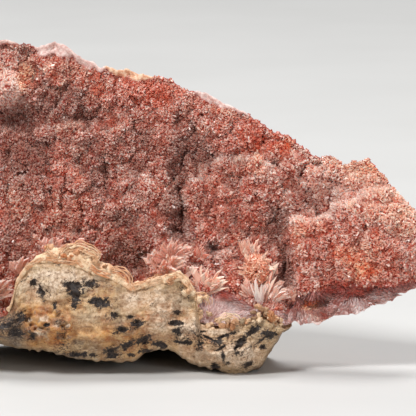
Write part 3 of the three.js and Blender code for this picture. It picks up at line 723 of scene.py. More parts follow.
DARK_RUST, LIGHT_RUST = rgb(0.44, 0.13, 0.03), rgb(0.74, 0.36, 0.10)
CHALK, DARK_CHALK = rgb(0.88, 0.70, 0.53), rgb(0.52, 0.355, 0.24)
ROCK_GREY, DARK_GREY = rgb(0.30, 0.235, 0.18), rgb(0.085, 0.062, 0.048)
STAIN_HALO = rgb(0.16, 0.09, 0.05)
STAIN_BLACK, STAIN_GREY = rgb(0.012, 0.009, 0.009), rgb(0.075, 0.052, 0.042)
RIND_TAN, RIND_CREAM, RIND_PIT = rgb(0.74, 0.47, 0.27), rgb(0.93, 0.72, 0.49), rgb(0.28, 0.12, 0.06)
RIND_PALE, RIND_BROWN = rgb(0.84, 0.70, 0.54), rgb(0.16, 0.10, 0.05)
RIND_RED, RIND_ORANGE = rgb(0.48, 0.13, 0.04), rgb(0.78, 0.34, 0.14)
FLOOR_DARK, FLOOR_LIGHT = rgb(0.60, 0.595, 0.58), rgb(0.62, 0.615, 0.60)


def crystal_color(s, along_it, fine, plain=CRYSTAL_BODY, tip=CRYSTAL_TIP):
    """Deep red in the gaps, partly the crystals' own red and partly painted light, the red that light takes
    through them there; pink in the body, whitish at the tips; with painted shade on faces turned from the key
    lamp and in the dull and shaded parts.
    """
    pale, warm, dull, glow = (s.number(n) for n in ("pale", "warm", "dull", "glow"))
    body = s.blend(along_it, 0.05, 0.75, CRYSTAL_ROOT, s.mix(glow, plain, CRYSTAL_GLOW))
    reach = s.times(s.ramp(along_it, 0.15, 0.95), pale)
    reach = s.times(reach, s.ramp(fine, 0.25, 0.7, 0.75, 1.15), clamp=True)
    color = s.mix(reach, body, tip)
    # Painted shade: faces turned away from the key lamp are tinted redder.
    normal = s.add("ShaderNodeNewGeometry").outputs["Normal"]
    upward = s.add("ShaderNodeVectorMath", {0: normal, 1: KEY_LAMP_SIDE}, operation="DOT_PRODUCT")
    color = s.tint(color, s.ramp(upward.outputs["Value"], 0.6, -0.2), SHADED_SIDE_TINT)
    color = s.tint(color, warm, WARM_TINT)
    # The dull and shaded parts, much of them painted shade, go greyish and dark.
    dull_shade_color = s.blend(along_it, 0.1, 0.9, DULL_SHADE_ROOT, DULL_SHADE_TIP)
    color = s.mix(s.times(dull, 0.9), color, s.mix(0.25, dull_shade_color, color))
    return s.tint(color, s.ramp(s.noise(5.0), 0.4, 0.7, 0.0, 0.3), PATCH_TINT)


def crystal_material(name, plain=CRYSTAL_BODY, tip=CRYSTAL_TIP):
    """Single crystals, which light soaks a little way in to."""
    s = Shader(
        name, Specular_IOR_Level=0.55, Subsurface_Weight=0.5, Subsurface_Radius=(1.0, 0.6, 0.5),
        Subsurface_Scale=0.5 * MM,
    )
    fine = s.noise(0.35, detail=1)
    return s.finish(crystal_color(s, s.number("share"), fine, plain, tip), s.ramp(fine, 0.3, 0.7, 0.24, 0.42))


def crust_material():
    """The crust: its crystals' colour under the druse, fibrous lilac and white where it is broken."""
    s = Shader("inesite_fibres", Specular_IOR_Level=0.5)
    druse, ochre, red, chip, white = (s.number(n) for n in ("druse", "ochre", "red", "chip", "white"))
    fibre = s.vector("fibre")
    streak = s.noise(0.22, detail=4, stretch=(1, 0.06, 1), vector=fibre)
    band = s.noise(1.6, detail=2, stretch=(0.8, 0.5, 1), vector=fibre)
    speck = s.noise(0.6, detail=3)
    # White below 0 darkens the section, in two bands as painted shade under the druse's overhang.
    whiter = s.times(white, 0.3)
    pale = s.blend(s.plus(streak, whiter), 0.4, 0.7, LILAC, LILAC_WHITE)
    pale = s.coat(pale, s.minus(band, whiter), 0.45, 0.7, 0.55, SECTION_PINK)
    pale = s.coat(pale, speck, 0.62, 0.75, 0.4, SECTION_CREAM)
    # Dark red patches, partly painted shadow under the druse's lower edge.
    pale = s.mix(red, pale, s.blend(streak, 0.35, 0.7, DEEP_RED, SECTION_ROSE))
    chalky = s.blend(speck, 0.38, 0.62, CHALK_PINK, CHALK_WHITE)
    pale = s.mix(s.times(chip, s.ramp(streak, 0.2, 0.5, 0.7, 1.0)), pale, chalky)
    pale = s.mix(ochre, pale, s.blend(speck, 0.4, 0.6, OCHRE, LIGHT_OCHRE))
    color = s.mix(druse, pale, crystal_color(s, 0.12, speck))
    s.bump(s.plus(streak, s.times(speck, 0.5)), 0.5, 0.25)
    return s.finish(color, s.ramp(streak, 0.3, 0.7, 0.55, 0.35))


def slanting_noise(s):
    """Noise whose features slant across the face, for the branches of the stains."""
    settings = {"Vector": s.position(), "Rotation": (0, math.radians(28), 0), "Scale": (1 / MM,) * 3}
    turned_in = s.add("ShaderNodeMapping", settings).outputs[0]
    return s.noise(0.9, detail=4, stretch=(0.5, 1, 1.6), rough=0.6, vector=turned_in)


def rock_material():
    """Host rock: tan and cream, stained black and rusty, with grains of grey and brown, greyed towards its
    foot as painted shade.
    """
    s = Shader("host_rock_surface", Specular_IOR_Level=0.3)
    edge, rust, pale, grey = (s.number(n) for n in ("stain", "rust", "pale", "grey"))
    broad = s.noise(6.0, detail=3)
    middle = s.noise(1.7, detail=4, stretch=(0.8, 1, 1.3))
    fine = s.noise(0.5, detail=4, rough=0.65)
    grain = s.noise(0.22, detail=2)
    bedding = s.noise(0.8, detail=3, stretch=(0.2, 0.5, 1.4))
    slanting = slanting_noise(s)
    color = s.blend(broad, 0.4, 0.6, TAN, LIGHT_TAN)
    color = s.coat(color, middle, 0.48, 0.58, 0.75, SAND)
    color = s.coat(color, bedding, 0.53, 0.62, 0.55, BED_BROWN)
    color = s.mix(s.line(bedding, 0.46, 0.02, 0.5), color, BED_LINE)
    color = s.coat(color, fine, 0.56, 0.64, 0.65, UMBER)
    color = s.coat(color, grain, 0.46, 0.36, 0.6, CREAM_GRAIN)
    color = s.mix(s.line(fine, 0.47, 0.012, 0.55), color, HAIRLINE)
    rusty = s.blend(middle, 0.35, 0.65, DARK_RUST, LIGHT_RUST)
    color = s.mix(s.times(rust, s.ramp(fine, 0.3, 0.6, 0.5, 1.0), clamp=True), color, rusty)
    chalk = s.blend(fine, 0.38, 0.62, CHALK, DARK_CHALK)
    color = s.mix(s.times(pale, s.ramp(middle, 0.35, 0.6, 0.55, 1.1), clamp=True), color, chalk)
    color = s.mix(grey, color, s.blend(fine, 0.36, 0.6, ROCK_GREY, DARK_GREY))
    for noise_in, amount in ((fine, 2.1), (grain, 0.7), (slanting, 1.4)):
        edge = s.plus(edge, s.times(s.minus(noise_in, 0.5), amount))
    edge = s.plus(edge, s.line(slanting, 0.5, 0.05, 0.5))
    color = s.coat(color, edge, -0.3, 0.15, 0.4, STAIN_HALO)
    color = s.blend(edge, 0.09, 0.14, color, s.blend(grain, 0.4, 0.65, STAIN_BLACK, STAIN_GREY))
    s.bump(s.plus(middle, s.times(fine, 0.5)), 0.7, 0.7)
    return s.finish(color, s.ramp(edge, 0.0, 0.2, 0.75, 0.3))


def rind_material():
    """The rind: cream and orange bands, with darker pits."""
    s = Shader("rind_surface", Specular_IOR_Level=0.4)
    fine = s.noise(0.4, detail=4)
    middle = s.noise(1.3, detail=3)
    color = s.blend(middle, 0.35, 0.65, RIND_TAN, RIND_CREAM)
    color = s.coat(color, fine, 0.54, 0.66, 0.6, RIND_PIT)
    color = s.coat(color, fine, 0.42, 0.3, 0.6, RIND_PALE)
    color = s.mix(s.number("orange"), color, s.blend(fine, 0.3, 0.7, RIND_RED, RIND_ORANGE))
    color = s.mix(s.number("brown"), color, RIND_BROWN)
    s.bump(s.plus(fine, middle), 0.5, 0.2)
    return s.finish(color, s.ramp(fine, 0.3, 0.7, 0.6, 0.4))


def floor_material():
    s = Shader("studio_floor")
    return s.finish(s.blend(s.noise(60.0, detail=2), 0.3, 0.7, FLOOR_DARK, FLOOR_LIGHT), 0.75)


# ---------------- the crust's body

FRONT_ROWS, BACK_ROWS = 120, 44  # rows of the crust's mesh up its face and down its back
# Where the druse's rim is broken into a smooth band: (x, half length, width, warmth).
RIM_BANDS = [
    (-20.6, 4.6, 2.4, 0), (-15, 4.4, 1.9, 0), (-6, 5, 1.5, 0.8), (10.5, 3.2, 1.9, 0), (15, 3.4, 0.8, 0),
    (-33, 5, 0.9, 0.1),
]
# Where the fibres of the broken section spring from: (x, v).
FIBRE_ROOTS = [(10.2, 8.8), (20.4, 12.6), (27.6, 14.4), (30.8, 16.4), (38.6, 15.8), (47.4, 14.7), (55, 20)]
SHEAF = 9  # how far the loose sheaves of the other fibres spring from their middles
# Dark red and warm patches of the section: (x, v, half width, half height, amount). Along the druse's lower
# edge the dark red is partly painted shadow under its overhang, and elsewhere the section's own colour.
SECTION_RED = [
    (37.5, 15.9, 5.5, 1, 1.6), (45.5, 16.8, 4, 0.9, 1.5), (51, 17.5, 2.5, 0.7, 1),
    (13.4, 14.9, 3.4, 1.3, 1), (27, 12.5, 1.6, 1.8, 0.9), (31, 14, 1.8, 0.8, 0.8),
    (33.5, 10.5, 0.9, 0.7, 0.9), (36.5, 13.4, 1.2, 0.9, 0.5),
]
SECTION_WARM = [(30.2, 12.8, 2.0, 1.0, 1.4), (24.5, 14.8, 0.8, 1.1, 0.9), (32.2, 10.2, 2.4, 0.8, 0.5)]
# Where the section is whiter, and, with amounts below 0, where it is darker; the last two darker bands, under
# the druse's overhang, are painted shade.
SECTION_PALE = [
    (13.6, 11.8, 5, 3, 1.5), (31.6, 11.9, 1.8, 0.5, 0.3), (46, 13.5, 1.6, 1.6, 0.15),
    (38.5, 12.7, 3.4, 1.4, 0.1), (40, 11.9, 1.8, 1, 0.9), (36.4, 12.5, 1.3, 1.2, 0.7),
    (44.4, 14.8, 2.6, 0.9, 0.6), (33.6, 12.9, 1.2, 0.8, 0.5), (26.8, 13, 1.3, 1.5, -0.8),
    (31, 11.2, 3.2, 0.35, -0.8), (38.2, 13.8, 4, 0.4, -0.6), (42.4, 13.2, 0.5, 1.4, -0.5),
    (50, 17, 3, 1, 0.4), (31, 9.6, 3.4, 0.9, 1), (45, 14.4, 2, 1.2, 0.5), (39.4, 12, 3.2, 1.5, 0.35),
    (28, 12.2, 0.7, 0.9, 0.3), (27, 12.3, 2, 2, -0.4), (33, 11.5, 4.5, 2.2, -0.35),
    (33, 11.4, 0.8, 0.7, -0.6), (22.5, 12.5, 3, 3, -0.15), (36, 15, 5, 1.2, -0.4), (43, 15.6, 7, 1.2, -0.5),
]

def rim_band(x):
    """How wide the smooth band under the rim is at x, and how warm its colour."""
    wide, warm = np.zeros(np.shape(x)), np.zeros(np.shape(x))
    for x0, half, width, warmth in RIM_BANDS:
        share = np.clip(1 - ((x - x0) / half) ** 2, 0, 1) ** 0.5
        wide = np.maximum(wide, share * width * (1 + 0.3 * noise(x / 0.7, 1, 91)))
        warm = np.maximum(warm, np.where(share > 0, warmth, 0))
    return wide, warm


def fibre_field(x, v):
    """Where each point lies in its fan of fibres: angle times a length, distance, and the fan's own number.
    The named fans of the broken section come first; the rest of the crust has loose sheaves."""
    roots = np.array(FIBRE_ROOTS)
    nearest = np.hypot(x[..., None] - roots[:, 0], (v[..., None] - roots[:, 1]) * 1.3).argmin(-1)
    bent_x, bent_v = x + 1.6 * noise(x / 4, v / 4, 83), v + 1.6 * noise(x / 4, v / 4, 84)
    loose_x, loose_v, _, own = cells(bent_x, bent_v, 11, 9, 80)
    named = (x > 7) & (v < along(BREAK, x) + 1.5)
    cx = np.where(named, roots[nearest, 0], loose_x + SHEAF * np.cos(own * 40))
    cv = np.where(named, roots[nearest, 1], loose_v + SHEAF * np.sin(own * 40))
    angle = np.arctan2(v - cv, x - cx) * np.where(named, 4, SHEAF)
    return np.stack([angle, np.hypot(x - cx, v - cv), np.where(named, nearest, own * 40)], -1)


def fibre_streaks(x, v, fineness):
    """Low ridges along the fibres."""
    fibres = fibre_field(x, v)
    return noise(fibres[..., 0] * fineness, fibres[..., 1] * 0.2, fibres[..., 2])


def crust_sections(xs):
    """The crust's loops: up its face, with its band at the rim pressed flat, and down its fibrous back."""
    bed, rim = bed_line(xs[:, None]), rim_line(xs[:, None])
    down = np.linspace(1, 0, BACK_ROWS)[None]
    v_up, v_down = lerp(bed, rim, np.linspace(0, 1, FRONT_ROWS)[None]), lerp(bed, rim, down)
    x = np.broadcast_to(xs[:, None], v_up.shape)
    druse = druse_share(x, v_up)
    band, _ = rim_band(x)
    smooth_rim = smoothstep(v_up, rim - band - 0.2, rim - band + 0.2)
    w_up = front(x, v_up) + 0.02 * druse - 0.25 * (1 - druse) * fibre_streaks(x, v_up, 2.2)
    w_up = w_up - smooth_rim * (0.35 + 0.5 * np.minimum(1, (rim - v_up) / np.maximum(band, 0.1)))
    x = np.broadcast_to(xs[:, None], v_down.shape)
    rough = 0.2 * fibre_streaks(x, v_down, 1.6) + 1.2 * broken(x, v_down, 4.5, 130)
    rough = rough + 0.5 * broken(x, v_down, 1.8, 135)
    w_down = back(x, v_down) + rough * np.sin(np.pi * down)
    return np.stack([np.hstack([w_up, w_down]), np.hstack([v_up, v_down])], -1)


def crust_body(material):
    """The fibrous plate and the ground under the druse."""
    x, w, v = lofted(crust_sections, LEFT, RIGHT, CRUST_STEP, rings=15, rough=0.5)
    middle = (front(x, v) + back(x, v)) / 2
    band, warmth = rim_band(x)
    on_front = (w < middle) & (x > LEFT + CAP - 0.1)
    smooth_rim = smoothstep(v, rim_line(x) - band - 0.15, rim_line(x) - band + 0.15)
    low = smoothstep(-v, -along(LIP, x) - 3, -along(LIP, x)) * (x < LIP_END)
    behind = 0.3 + 0.6 * clouds(x, v, 6, 85, -0.2, 0.8)
    # The section's dark red patches include painted shadow under the druse's lower edge.
    red = covered(SECTION_RED, x, v) * on_front + behind * ~on_front + low
    ochre = covered(SECTION_WARM, x, v) * on_front + smooth_rim * warmth
    ochre = ochre + 0.5 * clouds(x, v, 5, 86, 0.35, 1.0) * ~on_front
    mesh_piece(
        "crust_body", place(x, w, v), [grid_quads(*x.shape)], "inesite_crust", "inesite", material,
        smooth=True, druse=np.where(on_front, druse_share(x, v) * (1 - smooth_rim), 0),
        red=np.clip(red, 0, 1), ochre=np.clip(ochre, 0, 1), chip=smooth_rim, fibre=fibre_field(x, v),
        white=np.where(on_front, tinted(SECTION_PALE, x, v), 0.3 * noise(x / 4, v / 4, 87) - 0.2),
        **druse_tones(x, v, 0.15),
    )


# ---------------- the druse

# Where the crystals are coarser: (x, v, half width, half height, amount).
COARSE_PATCHES = [(42, 28, 14, 14, 0.26), (30, 22, 5, 6, 0.1), (12, 22, 6, 5, 0.2), (17, 40, 10, 14, 0.2)]


def druse_floor(x):
    """The lower edge of the crystals at x."""
    return np.where(x < BREAK[0][0], bed_line(x) + 1, along(BREAK, x) + 0.2)


def shaken(x, v, step):
    """The points moved by up to half a step each way."""
    x = x + random.uniform(-0.5, 0.5, x.size) * step
    return x, v + random.uniform(-0.5, 0.5, v.size) * step


def scattered(low, high, step):
    """Points spread over the druse from x low to high, closer together where it is steep."""
    xs, vs = np.meshgrid(np.arange(low, high, step), np.arange(LOWEST, HIGHEST, step))
    x, v = shaken(xs.ravel(), vs.ravel(), step)
    band, _ = rim_band(x)
    inside = (v > druse_floor(x)) & (v < rim_line(x) - np.where(band > 0.3, band, 0.1))
    x, v = x[inside], v[inside]
    _, steep = facing(x, v)
    copies = np.floor(np.clip(steep, 1, STEEPEST) + random.uniform(0, 1, x.size)).astype(int)
    return shaken(np.repeat(x, copies), np.repeat(v, copies), step)


def edge_highlight(x, v):
    """Painted highlight: how much paler the crystals are painted along the rim and along the tops of the
    steps, where light catches them.
    """
    bent_x, bent_v = ragged(x, v)
    pale = 0.5 * smoothstep(v, rim_line(x) - 1.8, rim_line(x) - 0.4)
    for top in STEP_TOPS:
        below = along(top, bent_x) - bent_v
        inside = (bent_x > top[0][0] - 0.3) & (bent_x < top[-1][0])
        pale = pale + 0.55 * np.where(inside, smoothstep(below, -0.6, 0) * smoothstep(-below, -1.3, -0.5), 0)
    return pale


def druse_tones(x, v, spots):
    """How pale, warm, dull and shaded, and glowing the crystals at each point are, with painted shade in the
    hollows and creases and painted highlight on the knobs, the standing parts and the edges; the spots are
    paler by chance.
    """
    depth = relief(x, v)
    # Painted shade and highlight: deep parts of the relief (low) are painted duller and less pale, standing
    # parts (high) paler and more glowing.
    low, high = smoothstep(depth, 1.2, 3.4), smoothstep(-depth, -0.4, 1.6)
    _, dulled, paled, glowing, warmed = forms(*ragged(x, v))
    large, small = knobs(x, v)
    # Painted highlight: the tops of the knobs are painted paler.
    lump = smoothstep(small, 0.1, 0.42) * (0.4 + 0.6 * large)
    cluster = 0.35 * layered(x, v, 39) + 0.25 * noise(x / 4.5, v / 4.5, 38)
    pale = 0.75 * spots - 0.2 + 0.3 * cluster + 0.1 * high + 0.95 * lump + 0.8 * paled - 0.35 * low
    pale = pale + edge_highlight(x, v)
    warm = warmed + 0.25 * clouds(x, v, 4, 33, 0.2, 0.9)
    # Dull and shade: the forms, random grey clouds, and painted shade in the deep parts and the creases
    # between the knobs, taken off their crests.
    dull = dulled + 0.7 * low + 0.3 * clouds(x, v, 5, 35, 0.1, 0.9) + 0.35 * (0.35 - crest(large, small))
    dull = np.clip(dull + 0.5 * clouds(x, v, 1.7, 34, 0.15, 0.8) - 0.06, 0, 1)
    # Glow, a brighter coral: partly patches of the crystals' own colour, partly painted light on the standing
    # parts and in the creases between the small knobs.
    glow = glowing + 0.6 * clouds(x, v, 2.6, 37, -0.3, 0.7) + 0.25 * high
    glow = glow + 0.35 * (1 - smoothstep(small, 0.05, 0.25)) + 0.5 * clouds(x, v, 1.3, 36, 0.05, 0.7)
    glow = np.clip(glow * (1 - 0.8 * dull), 0, 1)
    return {"pale": np.clip(pale, 0, 1.4), "warm": np.clip(warm, 0, 1), "dull": dull, "glow": glow}


def shadow_under_edge(x, v):
    """How deep the painted shadow lies where the druse of the end turns in to the break below it: 1 there,
    and 0 well above.
    """
    return smoothstep(-(v - along(BREAK, x)), -1.7, -0.5) * smoothstep(x, 32, 34) * smoothstep(-x, -52, -49)


def aimed(outward, spread):
    """Directions scattered about the way out, none of them turned back in to the crust."""
    aim = outward + random.normal(0, spread, outward.shape)
    aim[:, 1] = np.minimum(aim[:, 1], -0.15)
    return turned(*aim.T)


def any_side(count):
    return random.normal(0, 1, (count, 3))


def coarseness(x, v):
    return 1 + covered(COARSE_PATCHES, x, v)


def druse_piece(name, low, high, material):
    """The small chisel-tipped crystals that cover the druse."""
    x, v = scattered(low, high, CRYSTAL_STEP)
    aim = aimed(0.45 * facing(x, v)[0] + 0.55 * facing(x, v, 1.6)[0], 0.2)
    coarse = coarseness(x, v)
    wide = random.uniform(0.4, 0.86, x.size) * coarse
    thick = wide * random.uniform(0.75, 1.0, x.size) * (2 - coarse) ** 1.5
    wide = wide * (1 + (coarse - 1) * 1.5)
    long = random.uniform(0.45, 0.95, x.size) * coarse
    points, faces, share = chisels(
        place(x, front(x, v) + SMALL_ROOT, v), aim, any_side(x.size), wide, thick, long,
        random.uniform(0.2, 0.6, x.size), random.uniform(0.0, 0.5, x.size),
    )
    tones = druse_tones(x, v, random.uniform(0, 1, x.size) ** 2)
    mesh_piece(
        name, points, faces, "inesite_crust", "inesite", material,
        # Painted shadow: crystals just above the break take their roots' deep red.
        share=share * (1 - 0.6 * np.repeat(shadow_under_edge(x, v), CHISEL_POINTS)),
        **{key: np.repeat(each, CHISEL_POINTS) for key, each in tones.items()},
    )


def coarse_piece(name, low, high, material):
    """Larger blades that stand among the small crystals."""
    x, v = scattered(low, high, COARSE_STEP)
    kept = v < rim_line(x) - 1
    x, v = x[kept], v[kept]
    aim = aimed(facing(x, v)[0], 0.35)
    coarse = coarseness(x, v)
    wide = random.uniform(0.45, 0.9, x.size) * coarse
    thick = random.uniform(0.25, 0.5, x.size) * coarse
    long = random.uniform(0.55, 0.9, x.size) * coarse
    points, faces, share = blades(
        place(x, front(x, v) + COARSE_ROOT, v), aim, any_side(x.size), wide, thick, long,
        random.uniform(0.5, 0.9, x.size), random.uniform(0.15, 0.6, x.size), 0.15,
    )
    tones = druse_tones(x, v, random.uniform(0, 1, x.size) ** 2)
    tones["pale"] = np.clip(tones["pale"] + 0.15, 0, 1)
    mesh_piece(
        name, points, faces, "inesite_crust", "inesite", material, share=share,
        **{key: per_blade(each) for key, each in tones.items()},
    )


# ---------------- sprays of blades

GOLDEN_ANGLE = math.pi * (3 - math.sqrt(5))  # spreads the blades of a ball evenly
# Each spray: x, v, reach, from angle, to angle, blades, width, least and most share that comes forward,
# how far its root stands before the crust, pale, warm.
SPRAYS = [
    (3, 21.3, 4.8, 20, 160, 70, 0.9, 0.3, 0.8, 1.5, 0.9, 0.1),
    (3.2, 20.1, 3.1, 25, 145, 44, 0.75, 0.6, 1.1, 2.6, 0.95, 0.3),
    (0, 21.3, 2.6, 100, 170, 14, 1.5, 0.3, 0.6, 1.5, 0.8, 0),
    (2, 18.9, 2.8, 0, 180, 60, 0.8, 0.6, 1.2, 2.5, 0.7, 0.15),
    (6, 18.9, 2.8, 45, 75, 6, 0.8, 0.3, 0.6, 1, 1, 0),
    (8.4, 22, 3, 40, 140, 14, 0.8, 0.3, 0.6, 0.2, 0.35, 0.1),
    (9.2, 14.9, 5.4, 72, 135, 22, 1, -0.2, 0.6, 0.3, 1.35, 0.3),
    (9.4, 14.9, 5.6, 28, 72, 24, 1, -0.2, 0.7, 0.5, 1.3, 0.4),
    (10.6, 15.4, 3, 20, 120, 20, 0.6, 0.5, 1, 0.6, 1.3, 0.3),
    (18.8, 21.4, 4.6, 62, 122, 26, 1, 0.2, 0.5, 0.2, 1, 0.35),
    (20, 14.4, 6.6, 66, 124, 40, 0.95, -0.6, -0.3, 0, 0.8, 0.4),
    (20, 13.6, 4.6, 96, 150, 22, 1.1, -0.5, 0.1, 0.3, 0.8, 0.35),
    (20.6, 13.6, 5.6, 36, 80, 24, 1.1, -0.5, 0.1, 0.3, 0.85, 0.3),
    (19.7, 19.4, 3.7, -20, 200, 34, 1, 0.1, 0.35, 1, 0.9, 0.5),
    (20.3, 13.1, 4.2, 74, 114, 36, 0.5, -0.45, 0.1, 1.2, 1.6, 0),
    (22.9, 18.6, 2.8, 78, 90, 4, 1.1, 0.2, 0.4, 0.5, 0.95, 0.3),
    (18.8, 14.5, 3.4, 115, 160, 12, 0.7, 0.3, 0.6, 0.3, 0.85, 0.1),
    (22, 16.5, 4.6, 74, 84, 3, 1, 0.2, 0.3, 0.3, 1, 0.3),
    (22.8, 13.3, 4.2, 24, 72, 22, 0.7, 0.3, 0.7, 0.3, 1.1, 0.1),
    (27, 14.2, 2, 60, 150, 14, 0.6, 0.4, 0.8, 0.3, 0.7, 0.3),
    (-32.8, 13.7, 5.2, 20, 150, 60, 0.9, 0.3, 0.9, 2.5, 0.85, 0.1),
    (-21.2, 22.9, 3.6, 60, 130, 20, 1.5, 0.2, 0.5, 1.5, 0.5, 0),
    (-27.6, 19.3, 3.2, 50, 150, 22, 1.1, 0.3, 0.7, 2, 0.75, 0.1),
    (-16, 23.4, 2.6, 50, 130, 18, 1, 0.2, 0.6, 1.2, 0.5, 0.2),
    (-43, 15.5, 5.2, 35, 140, 40, 1, 0.3, 0.8, 2, 0.7, 0.1),
    (14, 17.2, 2.2, 20, 160, 26, 0.6, 0.4, 0.9, 0.2, 0.45, 0.3),
]

# Balls of short blades: x, v, half width, half height, how far they stand out, blades, pale, warm.
BALLS = [
    (19.6, 19.4, 2.9, 3.9, 4.4, 430, 0.55, 0.7), (1.6, 20.2, 3.6, 2.6, 1.2, 300, 0.55, 0.1),
    (4.4, 20.4, 2.2, 1.8, 1.6, 160, 0.55, 0.2), (30, 13.4, 2, 1.1, 0.5, 110, 0.1, 1),
]


def toned(mesh, pale, warm, glow):
    """Blades with their tones, each one number for all or one for each blade."""
    count = len(mesh[0]) // BLADE_POINTS
    return *mesh, *(per_blade(np.broadcast_to(each, count)) for each in (pale, warm, glow))


def ball_blades(x, v, half_wide, half_high, lift, count, pale, warm):
    """Short blades that point out of a half ball on the crust."""
    turn = np.arange(count) * GOLDEN_ANGLE
    rise = np.sqrt(np.linspace(0.02, 1, count))
    out = np.stack([np.cos(turn) * rise, -np.sqrt(1.02 - rise**2), np.sin(turn) * rise], -1)
    depth = front(np.full(1, float(x)), np.full(1, float(v)))[0]
    root_x, root_v = x + out[:, 0] * half_wide * 0.75, v + out[:, 2] * half_high * 0.75
    root_w = depth + 0.8 + out[:, 1] * (lift + 0.8) * 0.8
    aim = out + random.normal(0, 0.16, (count, 3))
    mesh = blades(
        place(root_x, root_w, root_v), turned(*aim.T), any_side(count), random.uniform(0.5, 1.1, count),
        random.uniform(0.15, 0.4, count), random.uniform(0.6, 1.2, count), random.uniform(0.4, 0.9, count),
        random.uniform(0.1, 0.5, count), 0.1,
    )
    return toned(mesh, np.clip(pale + random.uniform(-0.25, 0.3, count), 0, 1), warm, 0.9)


def spray_blades(x, v, reach, start, end, count, width, least, most, lift, pale, warm):
    """One spray of blades, fanned out from its root."""
    angle = np.radians(np.linspace(start, end, count) + random.uniform(-14, 14, count))
    forward = random.uniform(least, most, count)
    long = reach * random.uniform(0.5, 1.1, count) * np.hypot(1, forward) / np.sqrt(1 + np.abs(forward))
    aim = turned(np.cos(angle), -forward, np.sin(angle))
    off = random.uniform(0, 0.3, count) * reach
    root_x = x + np.cos(angle) * off * 0.6 + random.normal(0, 0.3, count)
    root_v = v + np.sin(angle) * off * 0.6 + random.normal(0, 0.3, count)
    depth = front(np.full(count, float(x)), np.full(count, float(v))) - lift + 0.3 - forward * off * 0.5
    side = turned(-np.sin(angle), random.normal(0, 0.45, count), np.cos(angle))
    wide = width * random.uniform(0.4, 1.25, count)
    slant = random.uniform(0.12, 0.4, count)
    thick = wide * random.uniform(0.2, 0.4, count)
    taper = random.uniform(0.7, 1.05, count)
    mesh = blades(place(root_x, depth, root_v), aim, side, wide, thick, long, taper, slant, 0.05)
    return toned(mesh, np.clip(pale + random.uniform(-0.25, 0.2, count), 0, 1.6), warm, 0.5)


def joined(parts):
    """Joins meshes of quads, each given as its points, its quads and its numbers per point."""
    points, faces, *values = zip(*parts)
    starts = np.cumsum([0] + [len(each) for each in points[:-1]])
    quads = np.concatenate([quads + start for (quads,), start in zip(faces, starts)])
    return np.concatenate(points), [quads], *(np.concatenate(each) for each in values)


def sprays(material):
    """The sprays and balls of blades along the lip."""
    points, faces, share, pale, warm, glow = joined(
        [spray_blades(*each) for each in SPRAYS] + [ball_blades(*each) for each in BALLS]
    )
    mesh_piece(
        "blade_sprays", points, faces, "inesite_crust", "inesite", material, share=0.58 + 0.42 * share,
        pale=pale, warm=warm, dull=np.zeros(len(points)), glow=glow,
    )


def splinters(name, low, count, widest, longest, outmost, material):
    """Fibres or chips that stand out of the broken section along the fans, from x low on."""
    x = random.uniform(low, 54, count)
    v = lerp(along(BED, x) + 0.2, along(BREAK, x) + 0.4, random.uniform(0, 1, count))
    fibre = fibre_field(x, v)
    angle = fibre[:, 0] / 4 + random.normal(0, 0.12, count)
    long = random.uniform(0.3, 1, count) * longest
    in_fan = (x < 21) & (v < along(BREAK, x) - 1)
    past_bed = v + np.sin(angle) * long < along(BED, x) + 0.2
    angle = np.where(past_bed, angle + np.pi, angle)
    outward = np.where(in_fan, -0.05, random.uniform(-outmost, 0.05, count))
    aim = turned(np.cos(angle), outward, np.sin(angle))
    side = turned(-np.sin(angle), random.normal(0, 0.3, count), np.cos(angle))
    wide = random.uniform(0.33, 1, count) * widest * np.where(in_fan, 0.6, 1)
    taper = random.uniform(0.4, 0.9, count)
    roots = place(x, front(x, v) - 0.02, v)
    points, faces, share = blades(roots, aim, side, wide, wide * 0.5, long, taper, 0.3, 0.1)
    # Dark red patches, which under the druse's lower edge are partly painted shadow, give the splinters their
    # roots' red.
    red = covered(SECTION_RED, x, v)
    streak = noise(fibre[:, 0] * 1.2, fibre[:, 1] * 0.3, fibre[:, 2])
    white = tinted(SECTION_PALE, x, v)
    pale = np.clip(0.2 + 0.55 * streak + 0.9 * white - 1.2 * red + random.uniform(-0.25, 0.2, count), 0, 1)
    mesh_piece(
        name, points, faces, "inesite_crust", "inesite", material, pale=per_blade(pale),
        share=(0.45 + 0.55 * share) * (1 - 0.8 * per_blade(red)),
        warm=per_blade(covered(SECTION_WARM, x, v)),
        dull=per_blade(np.clip(0.3 - streak * 0.5 - white * 0.6, 0, 0.9)), glow=np.zeros(len(points)),
    )


# ---------------- the host rock

# Rows of the rock's mesh: over its lip, down the crevice behind it, up behind the crust, down its back and
# along its underside.
LIP_ROWS, CREVICE_ROWS, CLIMB_ROWS, REAR_ROWS, UNDER_ROWS = 104, (14, 3), 12, 64, 24
FACE_REACH = 3.9  # how far behind the plain lip its stains reach
